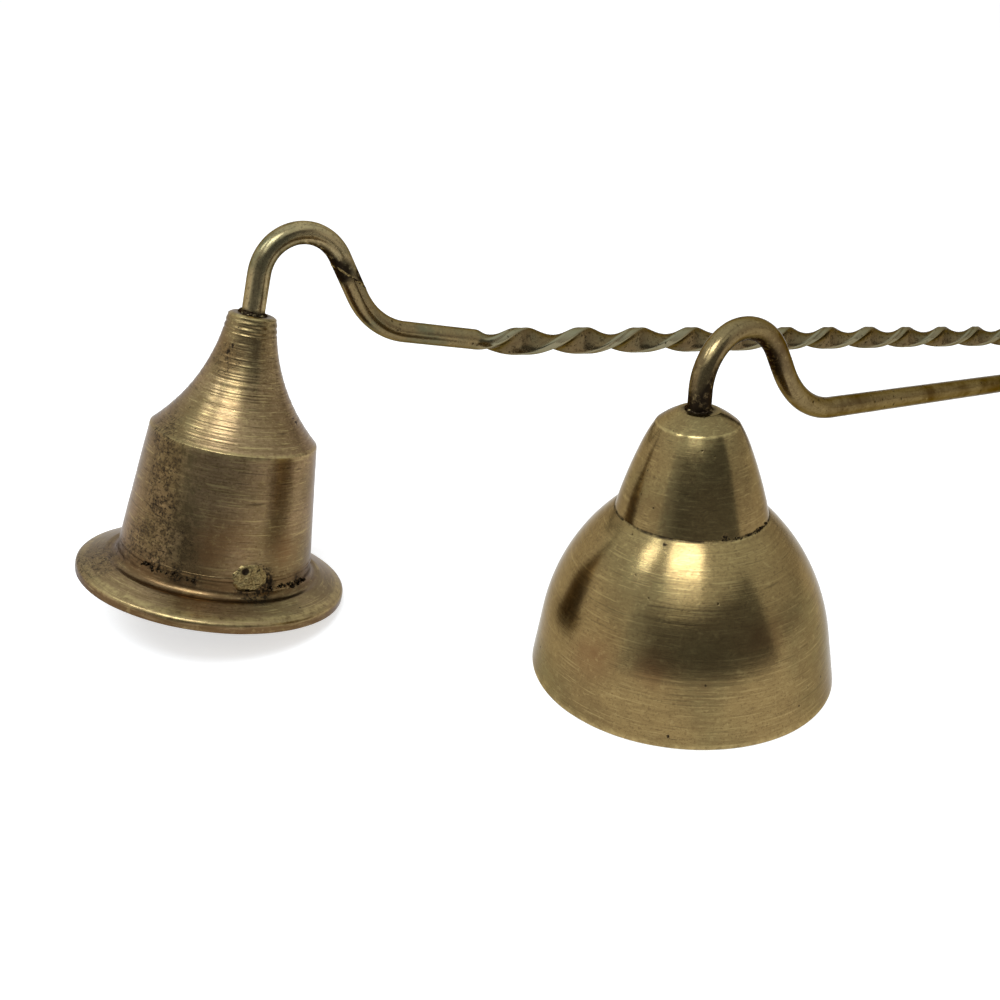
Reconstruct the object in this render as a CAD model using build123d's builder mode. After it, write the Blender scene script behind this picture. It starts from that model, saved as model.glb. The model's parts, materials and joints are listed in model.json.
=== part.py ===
"""A set of two aged-brass candle snuffers lying on a table.

The bell snuffer stands on its rim with the eye of its plain wire handle on the table.
The hat snuffer is tipped onto the edge of its brim and the eye of its twisted handle.
Millimetres, +Z up, the table at Z = 0, the origin at the centre of the bell's mouth and
+X along the bell's handle.
"""

import os
from math import acos, asin, atan2, cos, floor, radians, sin

from build123d import *

# Bell: a turned shell with a closed, flat crown
bell_rim_radius = 20.0
bell_bore_radius = 18.2
bell_skirt_radius = 18.7
bell_skirt_height = 7.0
bell_dome_radius = 27.4
bell_wall = 1.2
bell_crown_rise = 2.5

# Cap: a hollow turned cone that sits on the bell's dome
cap_base_radius = 9.7
cap_seat_width = 1.6
cap_bulge = 0.5
cap_shoulder_radius = 5.1
cap_shoulder_rise = 11.0
cap_dome_bulge = 0.25
cap_top_radius = 2.6
cap_top_rise = 13.3
cap_hollow_radius = 3.4
cap_hollow_rise = 9.0

# Bell handle: round wire, peened under the crown and bent to a hook, a step and an eye
bell_wire = 3.0
peen_radius = 2.6
peen_height = 1.0
bell_neck_rise = 2.3
bell_hook_radius = 6.5
bell_shoulder_radius = 9.5
bell_leg_angle = 58.0
bell_leg_length = 3.5
bell_bend_radius = 17.0
bell_droop = 8.5

# Hat cup: a turned crown and wall in one piece
hat_wall_foot_radius = 13.4
hat_wall_rise = 16.8
hat_shoulder_radius = 11.5
hat_wall = 1.1
hat_shoulder_edge = 0.4
hat_crown_rise = 16.9
hat_crown_sag = 1.6
hat_top_radius = 3.3
hat_top_edge = 0.7
hat_hollow_radius = 2.4
hat_hollow_rise = 9.5
hat_socket_depth = 5.0

# Brim: a turned ring with a filleted collar that carries the wall
brim_radius = 18.85
brim_thickness = 1.45
brim_edge = 0.35
brim_rise = 1.45
brim_bore_radius = 12.0
collar_foot_radius = 15.0
collar_rise = 2.4
collar_fillet = 2.7

# Braze between collar and wall: a thin bead and one flat drop
braze_bead = 0.45
drop_width = 4.6
drop_height = 0.5
drop_angle = -92.0

# Hat wire: the hook, scarfed to a handle that is flattened and twisted left-handed
hat_wire = 3.2
hat_neck_rise = 5.4
hat_hook_radius = 6.4
hat_leg_angle = 53.1
hat_leg_length = 6.4
hat_bend_radius = 11.0
hat_run_length = 16.35
hat_lift = 5.6
hat_lift_radius = 10.0
scarf_angle = 30.0
scarf_film = 0.3
scarf_proud = 0.15
flat_width = 4.4
flat_thickness = 2.05
flatten_length = 3.0
half_turn = 12.6
twist_phase = 100.0
plain_end = 8.0

# Solder where the wires enter the cups, and the eyes at the far ends
solder_width = 0.9
solder_height = 0.8
eye_opening = 7.0
eye_sweep = 290.0

# Where the hat snuffer lies beside the bell snuffer
hat_x = -41.4
hat_y = 53.35
hat_heading = -5.6
hat_tilt = 14.8


# The dome is one arc, tangent to the skirt, told by its slope from the vertical
skirt_slope = atan2(bell_rim_radius - bell_skirt_radius, bell_skirt_height)
dome_centre_x = bell_skirt_radius - bell_dome_radius * cos(skirt_slope)
dome_centre_z = bell_skirt_height - bell_dome_radius * sin(skirt_slope)


def dome_at_radius(radius):
    """Point of the dome's outside at a distance from the axis."""
    slope = acos((radius - dome_centre_x) / bell_dome_radius)
    return (radius, dome_centre_z + bell_dome_radius * sin(slope))


def dome_at_height(height, wall=0.0):
    """Point of the dome at a height, on the outside or a wall's thickness in."""
    arc_radius = bell_dome_radius - wall
    slope = asin((height - dome_centre_z) / arc_radius)
    return (dome_centre_x + arc_radius * cos(slope), height)


def dome_between(low, high, wall=0.0):
    """Point halfway along the dome's arc between two of its points."""
    arc_radius = bell_dome_radius - wall
    slope_low = asin((low[1] - dome_centre_z) / arc_radius)
    slope_high = asin((high[1] - dome_centre_z) / arc_radius)
    slope = (slope_low + slope_high) / 2
    return (dome_centre_x + arc_radius * cos(slope), dome_centre_z + arc_radius * sin(slope))


def bulged(start, end, bulge):
    """Point beside the middle of a chord, off to its right by the bulge."""
    chord = Vector(end) - Vector(start)
    aside = Vector(chord.Y, -chord.X).normalized() * bulge
    middle = (Vector(start) + Vector(end)) * 0.5 + aside
    return (middle.X, middle.Y)


def wire_section(path):
    """Plane square to a wire's path at its start."""
    return Plane(origin=path @ 0, z_dir=path % 0)


# Bell snuffer

bell_wire_radius = bell_wire / 2
seat_edge = dome_at_radius(cap_base_radius)
seat_height = seat_edge[1]
bell_crown_height = seat_height + bell_crown_rise
bell_ceiling_height = bell_crown_height - bell_wall
bell_section = Plane.XZ

skirt_inside = (
    bell_skirt_radius - bell_wall * cos(skirt_slope),
    bell_skirt_height - bell_wall * sin(skirt_slope),
)
lip_height = skirt_inside[1] - (bell_bore_radius - skirt_inside[0]) * cos(skirt_slope) / sin(skirt_slope)
crown_outside = dome_at_height(bell_crown_height)
crown_inside = dome_at_height(bell_ceiling_height, bell_wall)

with BuildPart() as bell_cup:
    with BuildSketch(bell_section):
        with BuildLine():
            Polyline(
                (bell_bore_radius, lip_height),
                (bell_bore_radius, 0),
                (bell_rim_radius, 0),
                (bell_skirt_radius, bell_skirt_height),
            )
            ThreePointArc(
                (bell_skirt_radius, bell_skirt_height),
                dome_between((bell_skirt_radius, bell_skirt_height), crown_outside),
                crown_outside,
            )
            Polyline(
                crown_outside,
                (bell_wire_radius, bell_crown_height),
                (bell_wire_radius, bell_ceiling_height),
                crown_inside,
            )
            ThreePointArc(crown_inside, dome_between(skirt_inside, crown_inside, bell_wall), skirt_inside)
            Line(skirt_inside, (bell_bore_radius, lip_height))
        make_face()
    revolve(axis=Axis.Z)

cap_shoulder = (cap_shoulder_radius, seat_height + cap_shoulder_rise)
cap_top_height = seat_height + cap_top_rise
cap_top = (cap_top_radius, cap_top_height)
seat_inner = dome_at_radius(cap_base_radius - cap_seat_width)

with BuildPart() as bell_cap:
    with BuildSketch(bell_section):
        with BuildLine():
            ThreePointArc(seat_inner, dome_between(seat_edge, seat_inner), seat_edge)
            ThreePointArc(seat_edge, bulged(seat_edge, cap_shoulder, cap_bulge), cap_shoulder)
            ThreePointArc(cap_shoulder, bulged(cap_shoulder, cap_top, cap_dome_bulge), cap_top)
            Polyline(
                cap_top,
                (bell_wire_radius, cap_top_height),
                (bell_wire_radius, seat_height + cap_hollow_rise),
                (cap_hollow_radius, seat_height + cap_hollow_rise),
                seat_inner,
            )
        make_face()
    revolve(axis=Axis.Z)

peen_edge = (peen_radius, bell_ceiling_height)
peen_dome_radius = (peen_radius**2 + peen_height**2) / (2 * peen_height)
bell_eye_radius = eye_opening / 2 + bell_wire_radius
bell_eye_lift = bell_wire_radius + bell_eye_radius * (1 - cos(radians(bell_droop)))

with BuildPart() as bell_handle:
    with BuildLine(bell_section) as bell_path:
        neck = Line((0, bell_ceiling_height), (0, cap_top_height + bell_neck_rise))
        hook = JernArc(neck @ 1, (0, 1), bell_hook_radius, -90)
        shoulder = JernArc(hook @ 1, (1, 0), bell_shoulder_radius, -bell_leg_angle)
        leg = PolarLine(shoulder @ 1, bell_leg_length, -bell_leg_angle)
        bend = JernArc(leg @ 1, leg % 1, bell_bend_radius, bell_leg_angle - bell_droop)
        bell_run = ((bend @ 1).Z - bell_eye_lift) / sin(radians(bell_droop))
        run = PolarLine(bend @ 1, bell_run, -bell_droop)
        JernArc(run @ 1, run % 1, bell_eye_radius, eye_sweep)
    with BuildSketch(wire_section(bell_path.line)):
        Circle(bell_wire_radius)
    sweep()
    with BuildSketch(bell_section):
        with BuildLine():
            Polyline((0, bell_ceiling_height - peen_height), (0, bell_ceiling_height), peen_edge)
            JernArc((0, bell_ceiling_height - peen_height), (1, 0), peen_dome_radius, peen_edge)
        make_face()
    revolve(axis=Axis.Z)


def solder_ring(section, axis, wire_radius, height):
    """Rounded bead lying on a cup's top, against the wire."""
    outside = wire_radius + solder_width
    with BuildPart() as ring:
        with BuildSketch(section):
            with BuildLine():
                Polyline((outside, height), (wire_radius, height), (wire_radius, height + solder_height))
                ThreePointArc(
                    (wire_radius, height + solder_height),
                    (wire_radius + solder_width * sin(radians(45)), height + solder_height * cos(radians(45))),
                    (outside, height),
                )
            make_face()
        revolve(axis=axis)
    return ring


bell_solder = solder_ring(bell_section, Axis.Z, bell_wire_radius, cap_top_height)

# Hat snuffer, drawn in its own upright frame and laid over by its plane

tilt = radians(hat_tilt)
heading = radians(hat_heading)
hat_lift_off = (brim_radius - brim_edge) * sin(tilt) + brim_edge * (1 - cos(tilt))
hat_plane = Plane(
    origin=(hat_x, hat_y, hat_lift_off),
    x_dir=(cos(tilt) * cos(heading), cos(tilt) * sin(heading), -sin(tilt)),
    z_dir=(sin(tilt) * cos(heading), sin(tilt) * sin(heading), cos(tilt)),
)
hat_section = Plane(origin=hat_plane.origin, x_dir=hat_plane.x_dir, z_dir=-hat_plane.y_dir)
hat_axis = Axis(origin=hat_plane.origin, direction=hat_plane.z_dir)

hat_wire_radius = hat_wire / 2
collar_foot_height = brim_thickness + brim_rise
collar_height = collar_foot_height + collar_rise
hat_shoulder_height = collar_height + hat_wall_rise
hat_top_height = hat_shoulder_height + hat_crown_rise
hat_ceiling_height = hat_shoulder_height + hat_hollow_rise
hat_socket_height = hat_top_height - hat_socket_depth
collar_foot = (collar_foot_radius, collar_foot_height)
wall_foot = (hat_wall_foot_radius, collar_height)

with BuildPart() as hat_brim:
    with BuildSketch(hat_section) as brim_profile:
        with BuildLine():
            Polyline(
                wall_foot,
                (brim_bore_radius, collar_height),
                (brim_bore_radius, 0),
                (brim_radius, 0),
                (brim_radius, brim_thickness),
                collar_foot,
            )
            RadiusArc(collar_foot, wall_foot, collar_fillet)
        make_face()
        fillet(brim_profile.vertices().group_by(Axis.X)[-1], brim_edge)
    revolve(axis=hat_axis)

hat_shoulder = (hat_shoulder_radius, hat_shoulder_height)
hat_top = (hat_top_radius, hat_top_height)
wall_inside_radius = hat_shoulder_radius - hat_wall

with BuildPart() as hat_cup:
    with BuildSketch(hat_section) as cup_profile:
        with BuildLine():
            Line(wall_foot, hat_shoulder)
            ThreePointArc(hat_shoulder, bulged(hat_shoulder, hat_top, -hat_crown_sag), hat_top)
            Polyline(
                hat_top,
                (hat_wire_radius, hat_top_height),
                (hat_wire_radius, hat_socket_height),
                (0, hat_socket_height),
                (0, hat_ceiling_height),
                (hat_hollow_radius, hat_ceiling_height),
                (wall_inside_radius, hat_shoulder_height),
                (brim_bore_radius, collar_height),
                wall_foot,
            )
        make_face()
        outer_corners = cup_profile.vertices().filter_by_position(
            Axis.Y, hat_shoulder_height, hat_top_height
        ).group_by(Axis.Y)
        fillet(outer_corners[-1].sort_by(Axis.X)[-1], hat_top_edge)
        fillet(outer_corners[0].sort_by(Axis.X)[-1], hat_shoulder_edge)
    revolve(axis=hat_axis)

drop_radius = ((drop_width / 2) ** 2 + drop_height**2) / (2 * drop_height)
drop_reach = hat_wall_foot_radius + drop_height - drop_radius
drop_centre = hat_plane.from_local_coords(
    (drop_reach * cos(radians(drop_angle)), drop_reach * sin(radians(drop_angle)), collar_height)
)

with BuildPart() as brim_braze:
    with BuildSketch(hat_section):
        with Locations(wall_foot):
            Circle(braze_bead)
    revolve(axis=hat_axis)
    with Locations(drop_centre):
        Sphere(drop_radius)
    with BuildSketch(hat_plane):
        Circle((brim_bore_radius + hat_wall_foot_radius) / 2)
    extrude(amount=hat_shoulder_height, both=True, mode=Mode.SUBTRACT)
    add(hat_cup.part, mode=Mode.SUBTRACT)
    add(hat_brim.part, mode=Mode.SUBTRACT)

leg_direction = -hat_leg_angle
with BuildLine(hat_section) as hook_path:
    neck = Line((0, hat_socket_height), (0, hat_top_height + hat_neck_rise))
    arch = JernArc(neck @ 1, (0, 1), hat_hook_radius, leg_direction - 90)
    scarf_leg = PolarLine(arch @ 1, hat_leg_length, leg_direction)

scarf_normal = scarf_leg.tangent_at(0).rotate(Axis((0, 0, 0), hat_section.z_dir), 90 - scarf_angle)
scarf_plane = Plane(origin=scarf_leg @ 0.5, z_dir=scarf_normal)

with BuildPart() as hat_hook:
    with BuildSketch(wire_section(hook_path.line)):
        Circle(hat_wire_radius)
    sweep(path=hook_path.line)
    split(bisect_by=scarf_plane.offset(-scarf_film / 2), keep=Keep.BOTTOM)

with BuildPart() as scarf_braze:
    with BuildSketch(wire_section(scarf_leg)):
        Circle(hat_wire_radius + scarf_proud)
    sweep(path=scarf_leg)
    split(bisect_by=scarf_plane.offset(-scarf_film / 2), keep=Keep.TOP)
    split(bisect_by=scarf_plane.offset(scarf_film / 2), keep=Keep.BOTTOM)

hat_slope = hat_tilt - hat_lift
hat_eye_radius = eye_opening / 2 + hat_wire_radius
hat_eye_lift = hat_wire_radius + hat_eye_radius * (1 - cos(radians(hat_slope)))

with BuildLine(hat_section) as lead_path:
    lead_leg = PolarLine(arch @ 1, hat_leg_length, leg_direction)
    bend = JernArc(lead_leg @ 1, lead_leg % 1, hat_bend_radius, hat_leg_angle)
    run = PolarLine(bend @ 1, hat_run_length, 0)
    lift = JernArc(run @ 1, run % 1, hat_lift_radius, hat_lift)

twist_direction = lift % 1
handle_length = ((lift @ 1).Z - hat_eye_lift) / sin(radians(hat_slope))
half_turns = floor((handle_length - 2 * flatten_length - plain_end) / half_turn)
twist_length = half_turns * half_turn
end_length = handle_length - 2 * flatten_length - twist_length


def across_handle(along, turned=0.0):
    """Plane square to the straight handle, at a distance from its start and turned about it."""
    sideways = hat_plane.y_dir.rotate(Axis((0, 0, 0), twist_direction), turned)
    return Plane(origin=lift @ 1 + twist_direction * along, x_dir=sideways, z_dir=twist_direction)


twist_start = across_handle(flatten_length, twist_phase)
twist_end = across_handle(flatten_length + twist_length, twist_phase)
round_again = across_handle(2 * flatten_length + twist_length, twist_phase)
twist_line = Line(twist_start.origin, twist_end.origin)
twist_guide = Helix(
    pitch=2 * half_turn,
    height=twist_length,
    radius=flat_width,
    center=twist_start.origin,
    direction=twist_direction,
    lefthand=True,
)

with BuildLine(hat_section) as end_path:
    end_run = PolarLine(round_again.origin, end_length, hat_lift)
    JernArc(end_run @ 1, end_run % 1, hat_eye_radius, eye_sweep)

with BuildPart() as hat_handle:
    with BuildSketch(wire_section(lead_path.line)):
        Circle(hat_wire_radius)
    sweep(path=lead_path.line)
    split(bisect_by=scarf_plane.offset(scarf_film / 2), keep=Keep.TOP)
    for round_plane, flat_plane in ((across_handle(0, twist_phase), twist_start), (round_again, twist_end)):
        with BuildSketch(round_plane):
            Circle(hat_wire_radius)
        with BuildSketch(flat_plane):
            SlotOverall(flat_width, flat_thickness)
        loft()
    with BuildSketch(twist_start):
        SlotOverall(flat_width, flat_thickness)
    sweep(path=twist_line, binormal=twist_guide)
    with BuildSketch(wire_section(end_path.line)):
        Circle(hat_wire_radius)
    sweep(path=end_path.line)

hat_solder = solder_ring(hat_section, hat_axis, hat_wire_radius, hat_top_height)

pieces = {
    "bell_cup": bell_cup,
    "bell_cap": bell_cap,
    "bell_handle": bell_handle,
    "bell_solder": bell_solder,
    "hat_cup": hat_cup,
    "hat_brim": hat_brim,
    "brim_braze": brim_braze,
    "hat_hook": hat_hook,
    "scarf_braze": scarf_braze,
    "hat_handle": hat_handle,
    "hat_solder": hat_solder,
}

os.makedirs("parts", exist_ok=True)
for name, piece in pieces.items():
    piece.part.label = name
    export_step(piece.part, f"parts/{name}.step")
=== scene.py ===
"""Two aged-brass candle snuffers: turned cups, drawn wires, solder, braze and years of wear.

Every piece is made in metres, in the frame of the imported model, and rides on one of its bodies.
"""

import json
import math
import random

import bmesh
import bpy
import numpy as np
from bpy.props import FloatProperty, FloatVectorProperty, PointerProperty
from mathutils import Matrix, Vector, noise


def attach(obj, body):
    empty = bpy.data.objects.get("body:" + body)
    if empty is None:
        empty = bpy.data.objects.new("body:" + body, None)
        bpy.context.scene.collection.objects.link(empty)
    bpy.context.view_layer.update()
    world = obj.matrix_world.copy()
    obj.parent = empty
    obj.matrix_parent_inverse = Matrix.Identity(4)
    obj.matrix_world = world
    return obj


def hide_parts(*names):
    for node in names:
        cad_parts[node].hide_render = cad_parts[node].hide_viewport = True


bl_info = {
    "name": "Brass candle snuffers",
    "version": (1, 0, 0),
    "blender": (4, 5, 0),
    "location": "3D View > Sidebar > Snuffers",
    "description": "Builds a bell snuffer and a hat snuffer in aged brass, with their stage",
    "category": "Object",
}

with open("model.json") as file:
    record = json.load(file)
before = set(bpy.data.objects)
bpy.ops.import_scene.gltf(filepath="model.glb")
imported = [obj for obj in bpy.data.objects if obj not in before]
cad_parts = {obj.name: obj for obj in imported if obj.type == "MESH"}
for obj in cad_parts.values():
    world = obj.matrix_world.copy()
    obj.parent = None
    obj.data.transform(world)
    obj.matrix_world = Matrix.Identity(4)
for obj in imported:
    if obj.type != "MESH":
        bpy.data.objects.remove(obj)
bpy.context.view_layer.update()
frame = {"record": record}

MM = 0.001
GRAIN = 0.05 * MM
BELL_BODY = "bell_snuffer"
HAT_BODY = "hat_snuffer"


def hat_frame():
    """The hat's own frame, upright on its brim, from the mouth that the record gives."""
    mouth = next(mount for mount in frame["record"]["mounts"] if mount["name"] == "hat_mouth")
    up = -Vector(mouth["axis"]).normalized()
    sideways = up.cross(Vector((up.x, up.y, 0))).normalized()
    ahead = sideways.cross(up)
    turned = Matrix((ahead, sideways, up)).transposed().to_4x4()
    return Matrix.Translation(mouth["pos_m"]) @ turned


HAT_PLACE = hat_frame()
BELL_PLACE = Matrix.Identity(4)


def size(name, description, millimetres):
    """A length that a user may change, given in millimetres."""
    return FloatProperty(name=name, description=description, default=millimetres * MM, unit="LENGTH")


def angle(name, description, degrees):
    """An angle that a user may change, given in degrees."""
    return FloatProperty(name=name, description=description, default=math.radians(degrees), unit="ROTATION")


def colour(name, description, *linear):
    """A colour that a user may change."""
    return FloatVectorProperty(
        name=name, description=description, default=linear, subtype="COLOR", min=0, max=1
    )


def share(name, description, amount):
    """A share from nothing to all."""
    return FloatProperty(name=name, description=description, default=amount, min=0, max=1, subtype="FACTOR")


class BellSizes(bpy.types.PropertyGroup):
    """The turned bell, its cap and its wire"""

    rim_radius: size("Rim radius", "Outside of the mouth", 20.0)
    bore_radius: size("Bore radius", "Inside of the mouth", 18.2)
    skirt_radius: size("Skirt radius", "Outside where the skirt meets the dome", 18.7)
    skirt_height: size("Skirt height", "Height of the skirt", 7.0)
    dome_radius: size("Dome radius", "Radius of the dome's arc", 27.4)
    wall: size("Wall", "Thickness of the shell", 1.2)
    crown_rise: size("Crown rise", "Crown above the edge of the cap", 2.5)
    cap_base_radius: size("Cap base radius", "Outside of the cap at its seat", 9.7)
    cap_seat_width: size("Cap seat width", "Width of the seat on the dome", 1.6)
    cap_bulge: size("Cap bulge", "Swell of the cap's side", 0.14)
    cap_waist_radius: size("Cap waist radius", "Radius where the cap's side starts to lean in", 7.05)
    cap_waist_rise: size("Cap waist rise", "That place above the seat", 7.9)
    cap_shoulder_radius: size("Cap shoulder radius", "Radius at the cap's upper edge", 5.2)
    cap_shoulder_rise: size("Cap shoulder rise", "Upper edge above the seat", 11.6)
    cap_dome_bulge: size("Cap dome bulge", "Swell of the cap's top", 0.10)
    cap_top_radius: size("Cap top radius", "Flat round the wire", 2.6)
    cap_top_rise: size("Cap top rise", "Top above the seat", 13.3)
    cap_hollow_radius: size("Cap hollow radius", "Inside of the cap at its top", 3.4)
    cap_hollow_rise: size("Cap hollow rise", "Height of the cap's hollow", 9.0)
    wire: size("Wire", "Diameter of the wire", 3.0)
    peen_radius: size("Peen radius", "Head under the crown", 2.6)
    peen_height: size("Peen height", "Height of that head", 1.0)
    neck_rise: size("Neck rise", "Straight wire above the cap", 2.3)
    hook_radius: size("Hook radius", "First bend", 6.5)
    shoulder_radius: size("Shoulder radius", "Second bend", 9.5)
    leg_angle: angle("Leg angle", "Slope of the leg", 58.0)
    leg_length: size("Leg length", "Straight part of the leg", 3.5)
    bend_radius: size("Bend radius", "Bend into the handle", 17.0)
    droop: angle("Droop", "Slope of the handle to the table", 8.5)


class HatSizes(bpy.types.PropertyGroup):
    """The turned hat, its brim, its hook and its twisted handle"""

    foot_radius: size("Foot radius", "Outside of the wall at the collar", 13.4)
    wall_rise: size("Wall rise", "Height of the wall", 16.8)
    shoulder_radius: size("Shoulder radius", "Outside at the shoulder", 11.5)
    wall: size("Wall", "Thickness of the wall", 1.1)
    crown_rise: size("Crown rise", "Height of the crown", 16.9)
    crown_sag: size("Crown sag", "Hollow of the crown's side", 1.6)
    top_radius: size("Top radius", "Radius of the crown's top", 3.3)
    top_edge: size("Top edge", "Rounding of the crown's top", 0.7)
    hollow_radius: size("Hollow radius", "Inside of the crown at its top", 2.4)
    hollow_rise: size("Hollow rise", "Height of the crown's hollow", 9.5)
    socket_depth: size("Socket depth", "Depth of the wire's socket", 5.0)
    brim_radius: size("Brim radius", "Outside of the brim", 18.85)
    brim_thickness: size("Brim thickness", "Edge of the brim", 1.45)
    brim_rise: size("Brim rise", "Rise of the brim's top", 1.45)
    brim_edge: size("Brim edge", "Rounding of the brim's upper edge", 0.45)
    bore_radius: size("Bore radius", "Inside of the brim", 12.0)
    collar_foot_radius: size("Collar foot radius", "Where the collar meets the brim", 15.0)
    collar_rise: size("Collar rise", "Height of the collar", 2.4)
    collar_fillet: size("Collar fillet", "Radius of the collar's hollow", 1.1)
    collar_neck: size("Collar neck", "Where the collar turns upright, above its foot", 1.25)
    neck_flare: size("Neck flare", "How much wider the collar is there than at its top", 0.12)
    bead: size("Braze bead", "Bead between collar and wall", 0.45)
    drop_width: size("Drop width", "Width of the drop of braze", 5.4)
    drop_height: size("Drop height", "Height of the drop of braze", 4.0)
    drop_swell: size("Drop swell", "How far the drop stands out", 0.24)
    drop_angle: angle("Drop angle", "Where the drop is, round the hat", -93.0)
    wire: size("Wire", "Diameter of the wire", 3.2)
    neck_rise: size("Neck rise", "Straight wire above the crown", 5.4)
    hook_radius: size("Hook radius", "Bend of the hook", 6.4)
    leg_angle: angle("Leg angle", "Slope of the leg", 53.1)
    leg_length: size("Leg length", "Straight part of the leg", 6.4)
    bend_radius: size("Bend radius", "Bend into the handle", 11.0)
    run_length: size("Run length", "Straight wire before the lift", 16.35)
    lift: angle("Lift", "Slight upward bend", 5.6)
    lift_radius: size("Lift radius", "Radius of that bend", 10.0)
    scarf_angle: angle("Scarf angle", "Slant of the brazed joint", 30.0)
    scarf_film: size("Scarf film", "Braze in the joint", 0.3)
    flat_width: size("Flat width", "Width of the flattened wire", 4.4)
    flat_thickness: size("Flat thickness", "Thickness of the flattened wire", 2.05)
    flatten_length: size("Flatten length", "Run from round to flat", 3.0)
    twist_lead: size("Twist lead", "Hand-twisted run before the even twist", 5.0)
    half_turn: size("Half turn", "Length of half a turn of the twist", 12.6)
    twist_phase: angle("Twist phase", "Turn of the flat at its start", 100.0)
    plain_end: size("Plain end", "Least round wire after the twist", 8.0)


class SharedSizes(bpy.types.PropertyGroup):
    """Sizes that both snuffers share"""

    solder_width: size("Solder width", "Width of the bead of solder", 0.9)
    solder_height: size("Solder height", "Height of the bead of solder", 0.8)
    eye_opening: size("Eye opening", "Inside of the hanging eyes", 7.0)
    eye_sweep: angle("Eye sweep", "How far the eyes close", 290.0)
    corner_ease: size("Corner ease", "Rounding of turned corners", 0.12)


class BrassFinish(bpy.types.PropertyGroup):
    """Colours and wear of the brass"""

    bare: colour("Bare brass", "Rubbed brass", 0.223, 0.153, 0.062)
    hat_bare: colour("Bare hat", "Rubbed brass of the hat, a redder one", 0.235, 0.154, 0.079)
    stain: colour("Stain", "Reddish stain", 0.150, 0.080, 0.033)
    worn: colour("Worn edge", "Brass polished by handling", 0.385, 0.29, 0.125)
    brown: colour("Brown patina", "Thin brown patina", 0.124, 0.079, 0.033)
    green: colour("Green patina", "Olive cast of old brass", 0.146, 0.121, 0.052)
    # Also the colour of painted shadow at the hat's braze drop and of painted shade in the drop's blow-hole.
    tarnish_and_shade: colour("Tarnish", "Dark tarnish in seams and pits", 0.018, 0.012, 0.007)
    wire_bare: colour("Bare wire", "Rubbed wire", 0.18, 0.13, 0.06)
    # Paler than the bare wire so that the hook shows a brighter highlight: a painted highlight, a lit copy
    # of the wire's colour.
    hook_highlit: colour("Bare hook", "Rubbed wire of the hook", 0.30, 0.228, 0.115)
    wire_brown: colour("Wire patina", "Brown patina on the wire", 0.08, 0.051, 0.024)
    wire_green: colour("Twist patina", "Olive patina on the twist", 0.118, 0.107, 0.057)
    twist_edge: colour("Twist edge", "Edges of the twist, rubbed pale", 0.235, 0.216, 0.140)
    braze: colour("Braze", "Pale braze", 0.186, 0.132, 0.054)
    solder: colour("Solder", "Dull solder under grime", 0.124, 0.093, 0.053)
    edge_tint: colour("Edge tint", "What glancing light keeps of its colour", 0.66, 0.61, 0.54)
    hat_edge_tint: colour("Hat edge tint", "The same on the duller hat", 0.68, 0.65, 0.64)
    wire_edge_tint: colour("Wire edge tint", "The same on the darker wires", 0.46, 0.42, 0.36)
    pit_brown: colour("Pit brown", "Dark brown of corroded brass", 0.045, 0.028, 0.013)
    collar_brown: colour("Collar brown", "Brown of the hat's collar", 0.084, 0.045, 0.018)
    # Laid down the hat wall's left as a vertical band: partly patina, partly a painted dark reflection band.
    olive: colour("Olive patina", "Dark olive patina on the hat's wall", 0.066, 0.05, 0.022)
    roughness: share("Roughness", "Roughness of rubbed brass", 0.15)
    hat_roughness: share("Hat roughness", "Roughness of the duller hat", 0.23)


class StageSettings(bpy.types.PropertyGroup):
    """Camera, lamps and floor"""

    camera_place: FloatVectorProperty(
        name="Camera place",
        description="Where the camera stands",
        default=(-102.83 * MM, -84.73 * MM, 84.31 * MM),
        subtype="XYZ",
        unit="LENGTH",
    )
    camera_heading: angle("Camera heading", "Turn of the view from +Y towards +X", 40.0)
    camera_pitch: angle("Camera pitch", "Fall of the view below level", 24.803)
    lens: FloatProperty(name="Lens", description="Focal length in millimetres", default=41.04, min=1)
    window_strength: FloatProperty(
        name="Window", description="Radiance of the soft window", default=11.3, min=0
    )
    fill: share("Fill", "Light from all round", 0.6)
    window_colour: colour("Window colour", "Cool daylight", 0.84, 0.92, 1.0)
    ceiling_colour: colour("Ceiling colour", "Cool light from overhead, in the brass", 0.86, 0.96, 1.0)
    ceiling_glow: share("Ceiling glow", "How much brighter the ceiling is, in the brass", 0.4)
    side_fall: share("Side fall", "How much dimmer the room is to the right", 0.20)
    floor_tone: share("Floor tone", "Paleness of the floor", 0.70)
    floor_glow: share("Floor glow", "White that the floor adds to what is seen of it", 0.6)
    # The flag glows at this level in the brass; where it lies on the floor it is painted shadow.
    flag_tone: share("Flag tone", "Paleness of the dark flag behind the camera", 0.28)


class SnufferSettings(bpy.types.PropertyGroup):
    """Everything that a user may change"""

    bell: PointerProperty(type=BellSizes)
    hat: PointerProperty(type=HatSizes)
    shared: PointerProperty(type=SharedSizes)
    finish: PointerProperty(type=BrassFinish)
    stage: PointerProperty(type=StageSettings)


# Node trees written as expressions


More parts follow.
